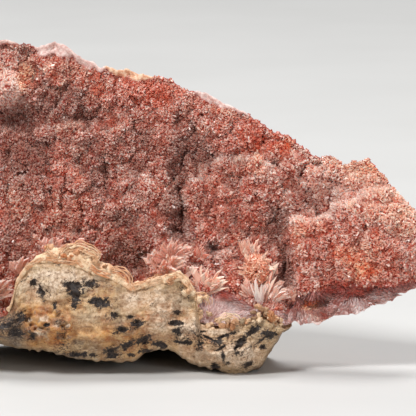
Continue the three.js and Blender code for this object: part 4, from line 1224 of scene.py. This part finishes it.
# Black stains on the lip: (x, v, half width, half height, turn in degrees).
STAINS = [
    (-16.5, 16.6, 1.9, 1, -5), (-16.2, 14.8, 1.2, 1.7, 0), (-16.6, 12.9, 0.6, 0.8, 0),
    (-13.2, 17, 1.5, 0.8, 0), (-11.2, 13.4, 2.1, 1, -8), (-20.2, 12.9, 0.45, 0.8, 0),
    (-23, 15.8, 0.8, 1.5, 10), (-24.5, 17.2, 0.6, 0.7, 0), (-29.5, 15.7, 0.7, 0.4, 0),
    (-29.6, 8.8, 2, 0.6, 5), (-21.8, 9, 0.8, 0.5, 0), (-8.7, 10.9, 0.8, 0.6, 0), (-5.1, 10.5, 0.8, 0.4, 0),
    (-3.9, 9.2, 1.5, 0.8, 5), (-7, 7.9, 1.5, 0.7, 12), (-9.3, 3.8, 1.4, 0.8, 10), (-6.1, 5, 1.8, 0.8, 25),
    (-2.7, 6.1, 1.6, 0.9, 25), (0.3, 5, 1.2, 0.6, -10), (-5.2, 2.9, 0.6, 0.4, 0), (-2.2, 3.6, 1.6, 0.5, 0),
    (-13, 3, 0.7, 0.5, 0), (-8.2, 3, 0.6, 0.35, 0), (4, 11.4, 0.9, 0.45, 0), (3.6, 9.3, 1.3, 0.45, 0),
    (4.2, 7.6, 0.5, 1.1, 0), (3.4, 7.7, 0.7, 0.5, 0), (6.3, 5.5, 0.7, 0.5, 0), (-31, 11.5, 1.2, 1.4, 0),
    (-27, 10.4, 1.6, 1.2, 20), (-28.4, 7.4, 1.9, 0.8, 0), (6, 5.4, 0.7, 0.5, 0), (8.3, 4.7, 0.9, 0.8, 20),
    (12, 5.7, 1.1, 0.9, 0), (16.7, 5.7, 1.2, 0.8, 35), (18.9, 7.7, 1.5, 0.7, 35), (22.2, 7, 1.4, 0.8, -10),
    (20.9, 4.6, 0.8, 0.6, 0), (15.6, 3.4, 0.5, 0.6, 0), (13, 2.6, 0.3, 1.2, 8), (14, 1.4, 0.5, 0.4, 0),
    (11.4, 0.7, 0.7, 0.6, 0), (18.1, 1.1, 1.2, 0.6, 20), (-36, 9, 1.6, 0.8, 0), (-41, 10, 1.2, 0.9, 20),
    (-46, 11, 1.2, 0.9, 0), (-15.6, 3, 2.1, 0.5, 3), (-8.8, 2.6, 1.4, 0.45, 12), (-24.8, 6.6, 0.5, 0.9, 20),
    (8.8, 7.6, 1, 0.25, 15), (4.8, 5.4, 1.6, 0.3, -10), (13.5, 6.8, 2.4, 0.3, 18),
    (10.2, 6.3, 2, 0.28, -25), (15.6, 4.6, 0.3, 1.3, -25), (20.4, 5.8, 1.5, 0.3, 40),
    (8, 6.9, 1.5, 0.26, -35), (12.6, 4.4, 1.4, 0.28, 30), (18, 4.4, 1.2, 0.3, 25),
]
# Where the rock is speckled with black: (x, v, half width, half height, amount).
SPECKLED = [
    (-2, 4.9, 8, 1.7, 0.4), (-9, 3.4, 6, 1.1, 0.35), (5, 6.4, 4, 1, 0.15), (12, 6.4, 5, 1.2, 0.3),
    (-6, 4.2, 5, 1.6, 0.1), (-29.5, 8.8, 3.2, 3.4, 1.15), (-21.8, 8.6, 3.4, 2.8, 0.35),
    (-25, 6.2, 3, 1.4, 0.6), (4.6, 8, 2.2, 2.6, 0.6), (7, 5.8, 4, 1.4, 0.45), (12, 5, 3, 1.6, 0.5),
    (-23.6, 16, 1.8, 3.5, 0.7), (-16, 15, 2.4, 3.4, 0.7), (-28.6, 15.4, 1.6, 1.6, 0.6),
    (18.6, 6.8, 4, 2.2, 0.5), (15, 3, 2, 2.6, 0.35), (-6.5, 9.4, 4, 1.8, 0.6), (-11, 13.4, 2.6, 1.6, 0.6),
    (-38, 9, 5, 3, 0.6), (-46, 12, 4, 4, 0.5), (-19.6, 4.6, 4, 1.2, 0.5), (22, 6.5, 2, 2, 0.5),
]
# Soft patches of the rock's colours: (x, v, half width, half height, amount).
RUST = [
    (-8, 8, 9, 4, 0.25), (9, 5.5, 7, 3, 0.3), (1, 11.5, 4, 4, 0.22), (-33, 9, 6, 4, 0.25),
    (-21.6, 8, 3.8, 3, 1.8), (-28.6, 9.4, 3.6, 3, 0.9), (-18, 12.5, 2.5, 2, 0.35), (-19, 6.2, 2, 1, 0.6),
    (-25, 12, 2, 2.5, 0.4), (3, 15.5, 2.5, 1.5, 0.3), (10, 6.5, 3, 2, 0.25), (-6, 15, 3, 1.2, 0.35),
    (19, 3, 2.5, 2, 0.2), (-14, 7, 4, 1, 0.2), (15, 3.8, 8, 3.4, 0.4), (5.5, 4, 3, 3, 0.35),
    (0, 10, 5, 4, 0.5), (-4, 13, 4, 2, 0.25), (-12, 7, 5, 3, 0.2),
]
PALE_ROCK = [
    (-22.6, 17.4, 5.5, 3.8, 1), (-13, 18.6, 5, 1.4, 0.6), (-20, 9.4, 1.2, 0.8, 0.7),
    (-3, 14.6, 4.5, 1.6, 0.55), (6.8, 8.4, 2.2, 1.4, 0.9), (-23, 10.4, 1.2, 0.7, 0.6),
    (-22.6, 7.2, 1, 0.7, 0.6), (14.5, 3.2, 3, 1.5, 0.5), (-12, 10.5, 4, 1.6, 0.35), (0, 8.5, 4, 1.5, 0.3),
    (-16, 10, 3, 1, 0.25), (5, 13, 2, 2, 0.3), (10, 2, 3, 1.5, 0.25), (17, 2.8, 3.8, 2.4, 0.8),
    (1, 11.5, 3.4, 4, 0.9), (12, 7.6, 5, 0.8, 0.6), (-17, 18.8, 4, 2, 0.7), (-5.5, 13.4, 2, 2.2, 0.7),
    (8, 3, 3, 1.5, 0.4), (14, 4, 9, 4, 0.4),
]
GREY_ROCK = [
    (-9.5, 16.5, 4, 2.4, 0.3), (11.5, 7.4, 4, 1, 0.15), (-2.5, 5.5, 4, 1.8, 0.2), (-25, 6.5, 3, 1.5, 0.3),
    (-12, 4, 4, 1.6, 0.3), (-28.8, 9, 3, 3.4, 0.9), (8, 6, 4, 2, 0.15), (-7, 10, 5, 3, 0.25),
    (-15, 5, 4, 1.5, 0.2), (18, 7.6, 4, 1.5, 0.1),
]
# A crumbly ochre lump of the lip: x, v, half width, half height, turn in degrees.
NODULE = (-21.6, 8.8, 4.8, 3.4, -22)
# Lumps and pits of the lip, each (x, v, half width, half height, depth); a lump's depth is negative.
ROCK_FORMS = [
    (-21.8, 8.4, 3.2, 2.6, -2.4), (-24, 9, 1.3, 1, 1.4), (-20.4, 9.6, 0.9, 0.9, 0.8),
    (-22.2, 6.4, 1.2, 0.8, 0.7), (-21.6, 11, 1, 0.5, 0.6), (14.6, 3.2, 3.2, 1.5, -0.7),
    (12.5, 7.6, 4, 0.9, -0.6), (16.4, 5.6, 1.4, 1.3, 0.5), (19, 7.6, 1.6, 1, 0.7), (-2.6, 6, 2, 1.2, 0.5),
    (-16.3, 14.6, 1.2, 1.8, 0.3), (13, 2.6, 0.3, 1.2, 0.4), (-21.8, 9, 0.7, 0.5, 0.6),
    (-24.5, 16.8, 0.6, 0.6, 0.6), (4, 15, 1.6, 1, -0.5), (-8, 14.5, 3, 0.6, -0.4),
    (21.2, 11, 1.6, 1.4, -1.6), (22.8, 10.9, 1.1, 1.1, -0.9), (6.8, 8.4, 2.2, 1.3, -0.8),
    (-21.6, 14.8, 5, 0.5, -0.4), (-12, 8, 6, 0.5, 0.3), (-4, 12.4, 4, 0.5, 0.25), (2, 6.9, 3, 0.5, 0.35),
]


def foot_line(x):
    """The lower edge of the lip at x, chipped upwards here and there."""
    return along(FOOT, x) + 0.6 * np.abs(noise(x / 1.9, 0, 96)) + 0.3 * np.abs(noise(x / 0.7, 0, 97))


def in_nodule(x, v):
    """1 on the crumbly lump of the lip and 0 off it, with an uneven edge between."""
    return smoothstep(patches([NODULE], x, v, 0.3), 0, 0.16)


def ridged(values):
    """Noise turned into low ridges with rounded tops."""
    return np.sqrt(values * values + 0.03)


def rough_rock(x, v, salt):
    return 0.7 * noise(x / 4, v / 4, salt) + 0.3 * noise(x / 1.7, v / 1.7, salt)


def rock_front(x, t):
    """Depth of the lip's face at x, t of the way from its foot to its top edge, with its v."""
    v = lerp(foot_line(x), along(LIP, x), t)
    fade = smoothstep(t, 0, 0.1) * np.sin(np.pi * np.maximum(t, 0.5)) ** 0.3
    swell = BELLY * np.sin(np.pi * t) ** 0.8 - 4 * (1 - t) ** 3
    bent = v + 0.5 * noise(x / 3, v / 3, 43)
    bedding = 0.24 * noise(x / 3, bent / 0.7, 44)
    nodule = in_nodule(x, v)
    fine = 0.2 * layered(x / 0.9, v / 0.9, 45) + 0.7 * ridged(noise(x / 2.4, bent / 1.5, 42))
    fine = fine + 0.7 * broken(x, bent, 3.4, 180) + 0.3 * broken(x, bent, 1.4, 190)
    crumbly = 0.35 + 0.8 * nodule + 0.35 * smoothstep(noise(x / 5, v / 4, 48), -0.2, 0.6)
    fine = fine + crumbly * np.maximum(layered(x / 1.1, v / 0.9, 47), -0.3)
    fine = fine + 0.5 * ridged(noise(x / 1.3, bent / 0.8, 49)) - 1.2 * nodule
    w = along(LIP_DEPTH, x) - swell + rough_rock(x, v, 30)
    w = w + (fine + bedding + tinted(ROCK_FORMS, x, v)) * fade
    w = w + np.clip(patches(STAINS, x, v), 0, 0.5) * 0.5 * fade
    w[:, 1:-1] = (w[:, :-2] + w[:, 1:-1] * 2 + w[:, 2:]) / 4
    return w, v


def rock_sections(xs):
    """The rock's loops: up the lip, down the crevice behind it, up behind the crust, and down its back."""
    x = xs[:, None]
    lip, depth = along(LIP, x), along(LIP_DEPTH, x)
    bed, foot = along(BED, x), foot_line(x)
    crest_v = np.maximum(along(ROCK_CREST, x), bed + 1)
    thick = np.where(x < LIP_END, LIP_THICK, 0.4)
    face_w, face_v = rock_front(np.broadcast_to(x, (len(xs), LIP_ROWS)), np.linspace(0, 1, LIP_ROWS)[None])

    def hidden(v):
        return back(x, v) - 0.6

    ws, vs = [face_w], [face_v]
    stops = [(depth + thick, lip - 0.3), (hidden(bed) - 1, bed - GAP), (hidden(bed + 1), bed + 1)]
    for (w0, v0), (w1, v1), count in zip(stops, stops[1:], CREVICE_ROWS):
        share = np.arange(count)[None] / count
        ws.append(lerp(w0, w1, share))
        vs.append(lerp(v0, v1, share))
    climb = lerp(bed + 1, crest_v, np.linspace(0, 1, CLIMB_ROWS)[None])
    deepest, start = along(ROCK_BACK, x), back(x, crest_v) + 1.6
    t = np.linspace(1, 0, REAR_ROWS)[None]
    rear_v = lerp(foot, crest_v, t)
    bulge = np.sin(np.pi * (1 - t) * 0.62) ** 0.8
    fine = 0.3 * layered(x / 2.2, rear_v / 2.2, 46) + 1.5 * broken(x, rear_v, 8, 140)
    fine = fine + 0.5 * broken(x, rear_v, 3, 150)
    rear_w = np.maximum(start, lerp(start, deepest, bulge)) + (rough_rock(x, rear_v, 40) + fine) * (1 - t * t)
    under = np.linspace(0.96, 0.04, UNDER_ROWS)[None]
    under_w = lerp(depth + 4, deepest, under)
    under_v = foot + 0.35 * noise(x / 4, under * 9, 35) + 0.2 * layered(x / 1.5, under_w / 1.5, 36)
    w = np.hstack([*ws, hidden(climb), rear_w, under_w])
    v = np.hstack([*vs, climb, rear_v - 0.4, under_v])
    return np.stack([w, v], -1)


def rock_body(material):
    """The host rock, with its stains and colours."""
    x, w, v = lofted(rock_sections, LEFT, ROCK_RIGHT, ROCK_STEP, rings=17, rough=0.8)
    face = w < along(LIP_DEPTH, x) + FACE_REACH
    stain = np.where(face, patches(STAINS, x, v), -1)
    stain = np.maximum(stain, 0.55 * layered(x / 2.4, (v + w) / 2.4, 47) - 0.75)
    stain = np.maximum(stain, face * tinted(SPECKLED, x, v) - 1)
    nodule = in_nodule(x, v) * face
    rust = tinted(RUST, x, v) * face + 0.8 * nodule + 0.5 * clouds(x, v + w, 5, 48, 0.3, 1.0)
    pale = tinted(PALE_ROCK, x, v) * face + 0.9 * nodule * clouds(x, v, 1.1, 51, 0.2, 0.6)
    pale = pale + 0.35 * clouds(x, v + w, 3, 49, 0.4, 1.0)
    # Painted shade: the rock is greyed and darkened towards its foot.
    low = smoothstep(-v, -along(FOOT, x) - 1.4, -along(FOOT, x) - 0.2)
    grey = tinted(GREY_ROCK, x, v) * face + 0.5 * low + 0.4 * clouds(x, v - w, 4, 50, 0.4, 1.0)
    grey = grey + 0.6 * nodule * clouds(x, v, 0.9, 53, 0.25, 0.7)
    mesh_piece(
        "host_rock_body", place(x, w, v), [grid_quads(*x.shape)], "host_rock", "host_rock", material,
        smooth=True, stain=stain, rust=np.clip(rust, 0, 1), pale=np.clip(pale, 0, 1),
        grey=np.clip(grey, 0, 1),
    )


# ---------------- the rind

# Curls of the rind: the points (x, v) each runs through, its thickness, and how orange it is.
CURLS = [
    ([(1.6, 18.3), (3.2, 18.8), (4.6, 18.6), (5.6, 17.7), (6.4, 16.2), (6.4, 15.3), (7.8, 14.8), (9, 14.8),
      (10, 13.9), (10.2, 12.9)], 0.8, 0.15),
    ([(-4.6, 16.9), (-3, 16.8), (-2.2, 17), (-1.4, 17.7), (-0.2, 18.2), (0.8, 18.3)], 0.6, 0.4),
    ([(-9, 19.5), (-8, 19.8), (-6.8, 19.4), (-6, 18.9), (-5.4, 17.3), (-4.8, 15.9)], 0.75, 0.8),
    ([(1.6, 17.9), (2.4, 17.3), (3.2, 17.7)], 0.7, 1.0),
    ([(-13.2, 20.5), (-12, 19.7), (-10.8, 19.1), (-9.2, 18.7)], 1.0, 0.6),
    ([(-26.1, 20.1), (-23.4, 21.7), (-21.9, 22.2), (-20.1, 21.7), (-16.9, 21.3), (-15.9, 21.5),
      (-14.6, 20.4)], 0.5, 0.7),
    ([(-19.5, 22), (-18.8, 23.3), (-17.8, 24.3), (-16.5, 24.3), (-15.4, 24.7), (-13.7, 24), (-12.5, 23.4),
      (-11.6, 22.6)], 0.9, 0.2),
    ([(-14.8, 22.9), (-13.1, 23.4), (-11.8, 22.6), (-12.4, 21.8)], 0.8, 0.1),
    ([(-22.2, 23.8), (-20.1, 22.5)], 0.5, 0.2),
    ([(11.6, 9.3), (12.8, 10.3), (14.2, 10.6), (15.6, 10.1), (16, 9.5)], 0.7, 0.05),
]
# Layers of each curl: how far to one side, and how thick, as shares of the curl.
CURL_LAYERS = [(0.0, 0.42), (0.42, 0.34), (-0.4, 0.36), (0.8, 0.28), (-0.75, 0.3)]
CURL_STOPS, CURL_SIDES = 6, 8  # the mesh of a curl: stops for each point of its path, and points around it
CURL_PASSES = 4  # how often its path is smoothed
KNOB_LUMPS, KNOB_RINGS, KNOB_SIDES = 5, 12, 17  # the lumps of a knob, and the mesh of each
KNOB_SPREAD = (1.3, 0.8, 0.7)  # how widely a knob's lumps lie along x, v and w
# Knobs, each (x, v, w, radius, orange, brown).
KNOBS = [
    (8, 13.5, -9.9, 1.5, 0.1, 0.1), (20.2, 12, -9.7, 1.4, 0.4, 0.45), (22.4, 11, -9, 1.5, 0.6, 0.35),
    (20.6, 10.3, -10, 1, 0, 0), (15.6, 8.9, -9.9, 1.2, 0.6, 0.45), (-17.4, 22.6, -12.4, 1.1, 1, 0),
    (12.4, 8.8, -9.9, 1.1, 0.4, 0.4), (9.2, 11.4, -9.8, 1.2, 0.2, 0.35),
    (-18.8, 22.8, -11.6, 1.2, 0.4, 0.1), (-12.2, 22, -12.2, 1.2, 0.4, 0.1),
    (-9.8, 20, -11.8, 1.1, 0.5, 0.1), (3, 18, -11.4, 0.8, 0.7, 0.1), (-15.4, 24.1, -12, 0.9, 0.9, 0),
    (6.4, 15.4, -10.4, 1.2, 0.1, 0), (-21.4, 24.2, -11, 0.8, 0.3, 0), (10.6, 8.9, -9.8, 0.9, 0.2, 0.1),
    (14, 9.4, -9.8, 1, 0.1, 0.2), (17.4, 9.5, -9.7, 0.9, 0.4, 0.3), (24.2, 9.4, -8.6, 0.9, 0.2, 0.2),
    (7.8, 11.2, -9.9, 1.1, 0, 0), (18.6, 9.9, -9.8, 0.9, 0.1, 0.1), (22.6, 9.9, -9.2, 0.9, 0.1, 0),
]


def rind_sections(xs):
    x = xs[:, None]
    rise = along(RIND_RISE, x) * (1 + 0.25 * noise(x / 1.3, 3, 60))
    lip, depth = along(LIP, x), along(LIP_DEPTH, x)
    wide = np.where(x < LIP_END, LIP_THICK, 0.9)
    w = [depth - 0.7, depth - 0.9, depth + 0 * rise, depth + wide, depth + wide + 0.6, depth + wide * 0.5]
    v = [lip - 0.7, lip + rise * 0.4, lip + rise, lip + rise * 0.9, lip + rise * 0.2, lip - 1]
    corners = np.stack([np.hstack(w), np.hstack(v)], -1)
    share = np.linspace(0, 1, 7)[:-1][None, None, :, None]
    after = np.roll(corners, -1, 1)
    loops = lerp(corners[:, :, None], after[:, :, None], share).reshape(len(xs), -1, 2)
    middle = loops.mean(1, keepdims=True)
    puff = 0.22 * layered(x / 0.8, loops[..., 1] / 0.8, 61)
    return loops + unit(loops - middle) * puff[..., None]


def curl(points, thick, shift, salt):
    """A ribbon along a smooth path at the front of the lip, shifted to one side, as a grid of points."""
    path = np.array(points, float)
    stops = np.linspace(0, len(path) - 1, len(path) * CURL_STOPS)
    x, v = (np.interp(stops, np.arange(len(path)), column) for column in path.T)
    for _ in range(CURL_PASSES):
        x[1:-1] = (x[:-2] + x[1:-1] * 2 + x[2:]) / 4
        v[1:-1] = (v[:-2] + v[1:-1] * 2 + v[2:]) / 4
    lift = np.where(x < LIP_END, 0.9, 0.7)
    w = along(LIP_DEPTH, x) - lift + 0.3 * noise(x / 1.2, v / 1.2, 63 + salt)
    size = thick / 2 * np.sin(np.pi * np.linspace(0.06, 0.94, len(x))) ** 0.35
    size = size * (1 + 0.4 * noise(x / 0.45, v / 0.45, 64 + salt))
    run = unit(np.stack([np.gradient(x), np.gradient(v)], -1))
    shift = shift * (1 + 0.5 * noise(x / 2, v / 2, 66)) + 0.22 * noise(x / 0.9, v / 0.9, 67 + salt)
    x, v = (x - run[:, 1] * shift)[:, None], (v + run[:, 0] * shift)[:, None]
    turn = np.linspace(0, 2 * np.pi, CURL_SIDES, endpoint=False)[None]
    size = size[:, None] * (1 + 0.5 * noise(x / 0.5, v / 0.5, turn * 1.2 + 64 + salt))
    across, through = np.cos(turn) * size, np.sin(turn) * size * 1.3
    return place(x - run[:, 1:] * across, w[:, None] + through, v + run[:, :1] * across)


def knob_points(x, v, w, radius):
    """A rough lump about (x, w, v) as a grid of points."""
    polar = np.linspace(0.02, np.pi - 0.02, KNOB_RINGS)[:, None]
    turn = np.linspace(0, 2 * np.pi, KNOB_SIDES, endpoint=False)[None]
    ways = np.broadcast_arrays(np.sin(polar) * np.cos(turn), np.cos(polar), np.sin(polar) * np.sin(turn))
    dx, dw, dv = ways
    bumpy = 1.1 + 0.3 * layered(dx * 1.6 + x, dv * 1.6 + w, dw * 1.6 + v, 4)
    bumpy = bumpy - 0.7 * np.abs(noise(dx * 2.4 + v, dv * 2.4 + w, dw * 2.4 + x))
    away = radius * np.maximum(bumpy, 0.3)
    dx, dw, dv = (way * (1 + 0.35 * np.sin(at)) * away for way, at in zip(ways, (x * 5, w * 7, v * 6)))
    return place(x + dx, w + dw, v + dv)


def toned_grid(grid, orange, brown):
    """A grid of points as a mesh with its two tones."""
    tones = (np.broadcast_to(each, grid.shape[:2]).ravel() for each in (orange, brown))
    return grid.reshape(-1, 3), [grid_quads(*grid.shape[:2])], *tones


def rind_body(material):
    """The rind's layer, its curls and its knobs."""
    x, w, v = lofted(rind_sections, RIND_RISE[0][0], RIND_RISE[-1][0], RIND_STEP, rings=4, rough=0.1)
    grids = [toned_grid(place(x, w, v), 0.35 * clouds(x, v, 1.6, 62, 0.0, 0.7), 0.0)]
    for points, thick, orange in CURLS:
        for layer, (shift, share) in enumerate(CURL_LAYERS):
            tone = np.clip(orange * 0.8 + random.uniform(-0.35, 0.45), 0, 1)
            grids.append(toned_grid(curl(points, thick * share, thick * shift, layer * 7), tone, 0.0))
    for x0, v0, w0, radius, orange, brown in KNOBS:
        for _ in range(KNOB_LUMPS):
            dx, dv, dw = random.normal(0, 0.5, 3) * radius * KNOB_SPREAD
            lump = knob_points(x0 + dx, v0 + dv, w0 + dw, radius * random.uniform(0.32, 0.66))
            grids.append(toned_grid(lump, *np.clip(random.normal((orange, brown), 0.2), 0, 1)))
    points, faces, orange, brown = joined(grids)
    mesh_piece("rind_bands", points, faces, "rind", "rind", material, smooth=True, orange=orange, brown=brown)


# ---------------- stage, light and camera

LENS = 500
SENSOR = 36
VIEW_WIDTH = 83.2  # millimetres of the specimen across the picture
VIEW_CENTRE = (10, 0, 32.1)  # (x, w, v) in the middle of the picture
FLOOR_HALF = 4  # metres
# Square lamps, all turned to one point: name, place and side in metres, and power.
LAMPS = [
    ("key", (-0.45, -0.6, 1.0), 0.35, 12), ("fill", (0.6, -1.0, 0.3), 0.4, 3),
    ("top", (0.15, 0.35, 1.1), 0.5, 8.5), ("rear", (-0.5, 1.0, 0.7), 0.6, 3),
]
LIT_POINT = (0, 0, 0.03)
AMBIENT, AMBIENT_STRENGTH = (0.9, 0.92, 0.95, 1), 0.2


def stage():
    corners = [(x * FLOOR_HALF, y * FLOOR_HALF, 0) for x, y in ((-1, -1), (1, -1), (1, 1), (-1, 1))]
    mesh = bpy.data.meshes.new("floor")
    mesh.from_pydata(corners, [], [(0, 1, 2, 3)])
    mesh.materials.append(floor_material())
    floor = bpy.data.objects.new("floor", mesh)
    bpy.context.scene.collection.objects.link(floor)


def softbox(name, at, size, power):
    light = bpy.data.lights.new(name, "AREA")
    light.shape = "SQUARE"
    light.size = size
    light.energy = power
    lamp = bpy.data.objects.new(name, light)
    bpy.context.scene.collection.objects.link(lamp)
    lamp.location = at
    away = np.array(at) - LIT_POINT
    flat = math.hypot(away[0], away[1])
    lamp.rotation_euler = (math.atan2(flat, away[2]), 0, math.atan2(away[1], away[0]) + math.pi / 2)


def studio():
    for lamp in LAMPS:
        softbox(*lamp)
    world = bpy.data.worlds.new("studio")
    world.use_nodes = True
    backdrop = world.node_tree.nodes["Background"]
    backdrop.inputs["Color"].default_value = AMBIENT
    backdrop.inputs["Strength"].default_value = AMBIENT_STRENGTH
    bpy.context.scene.world = world
    bpy.context.scene.view_settings.view_transform = "Standard"


def camera():
    """Looks square at the face frame, so from LEAN above the horizon."""
    data = bpy.data.cameras.new("camera")
    data.lens = LENS
    data.sensor_width = SENSOR
    data.clip_end = 20
    viewer = bpy.data.objects.new("camera", data)
    bpy.context.scene.collection.objects.link(viewer)
    distance = VIEW_WIDTH * MM * LENS / SENSOR
    centre = place(*VIEW_CENTRE)
    viewer.location = centre - distance * np.array([0, math.cos(LEAN), -math.sin(LEAN)])
    viewer.rotation_euler = (math.pi / 2 - LEAN, 0, 0)
    bpy.context.scene.camera = viewer


# ---------------- the specimen

# The druse's pieces: the end of the name, then where each begins and ends along x.
DRUSE_PARTS = [
    ("far_left", -54.5, -36), ("left", -36, -18), ("middle", -18, 0), ("right", 0, 16), ("far_right", 16, 32),
    ("end", 32, 54.6),
]


def specimen():
    crystal = crystal_material("inesite_crystal")
    crust_body(crust_material())
    for name, low, high in DRUSE_PARTS:
        druse_piece("druse_" + name, low, high, crystal)
    coarse_piece("coarse_crystals", DRUSE_PARTS[0][1], DRUSE_PARTS[-1][2], crystal)
    sprays(crystal)
    splinter = crystal_material("inesite_splinter", LILAC, LILAC_WHITE)
    splinters("section_fibres", 7.5, 5000, 0.3, 2.0, 0.3, splinter)
    splinters("section_chips", 23, 1500, 0.7, 1.4, 0.7, splinter)
    rock_body(rock_material())
    rind_body(rind_material())


specimen()
stage()
studio()
camera()
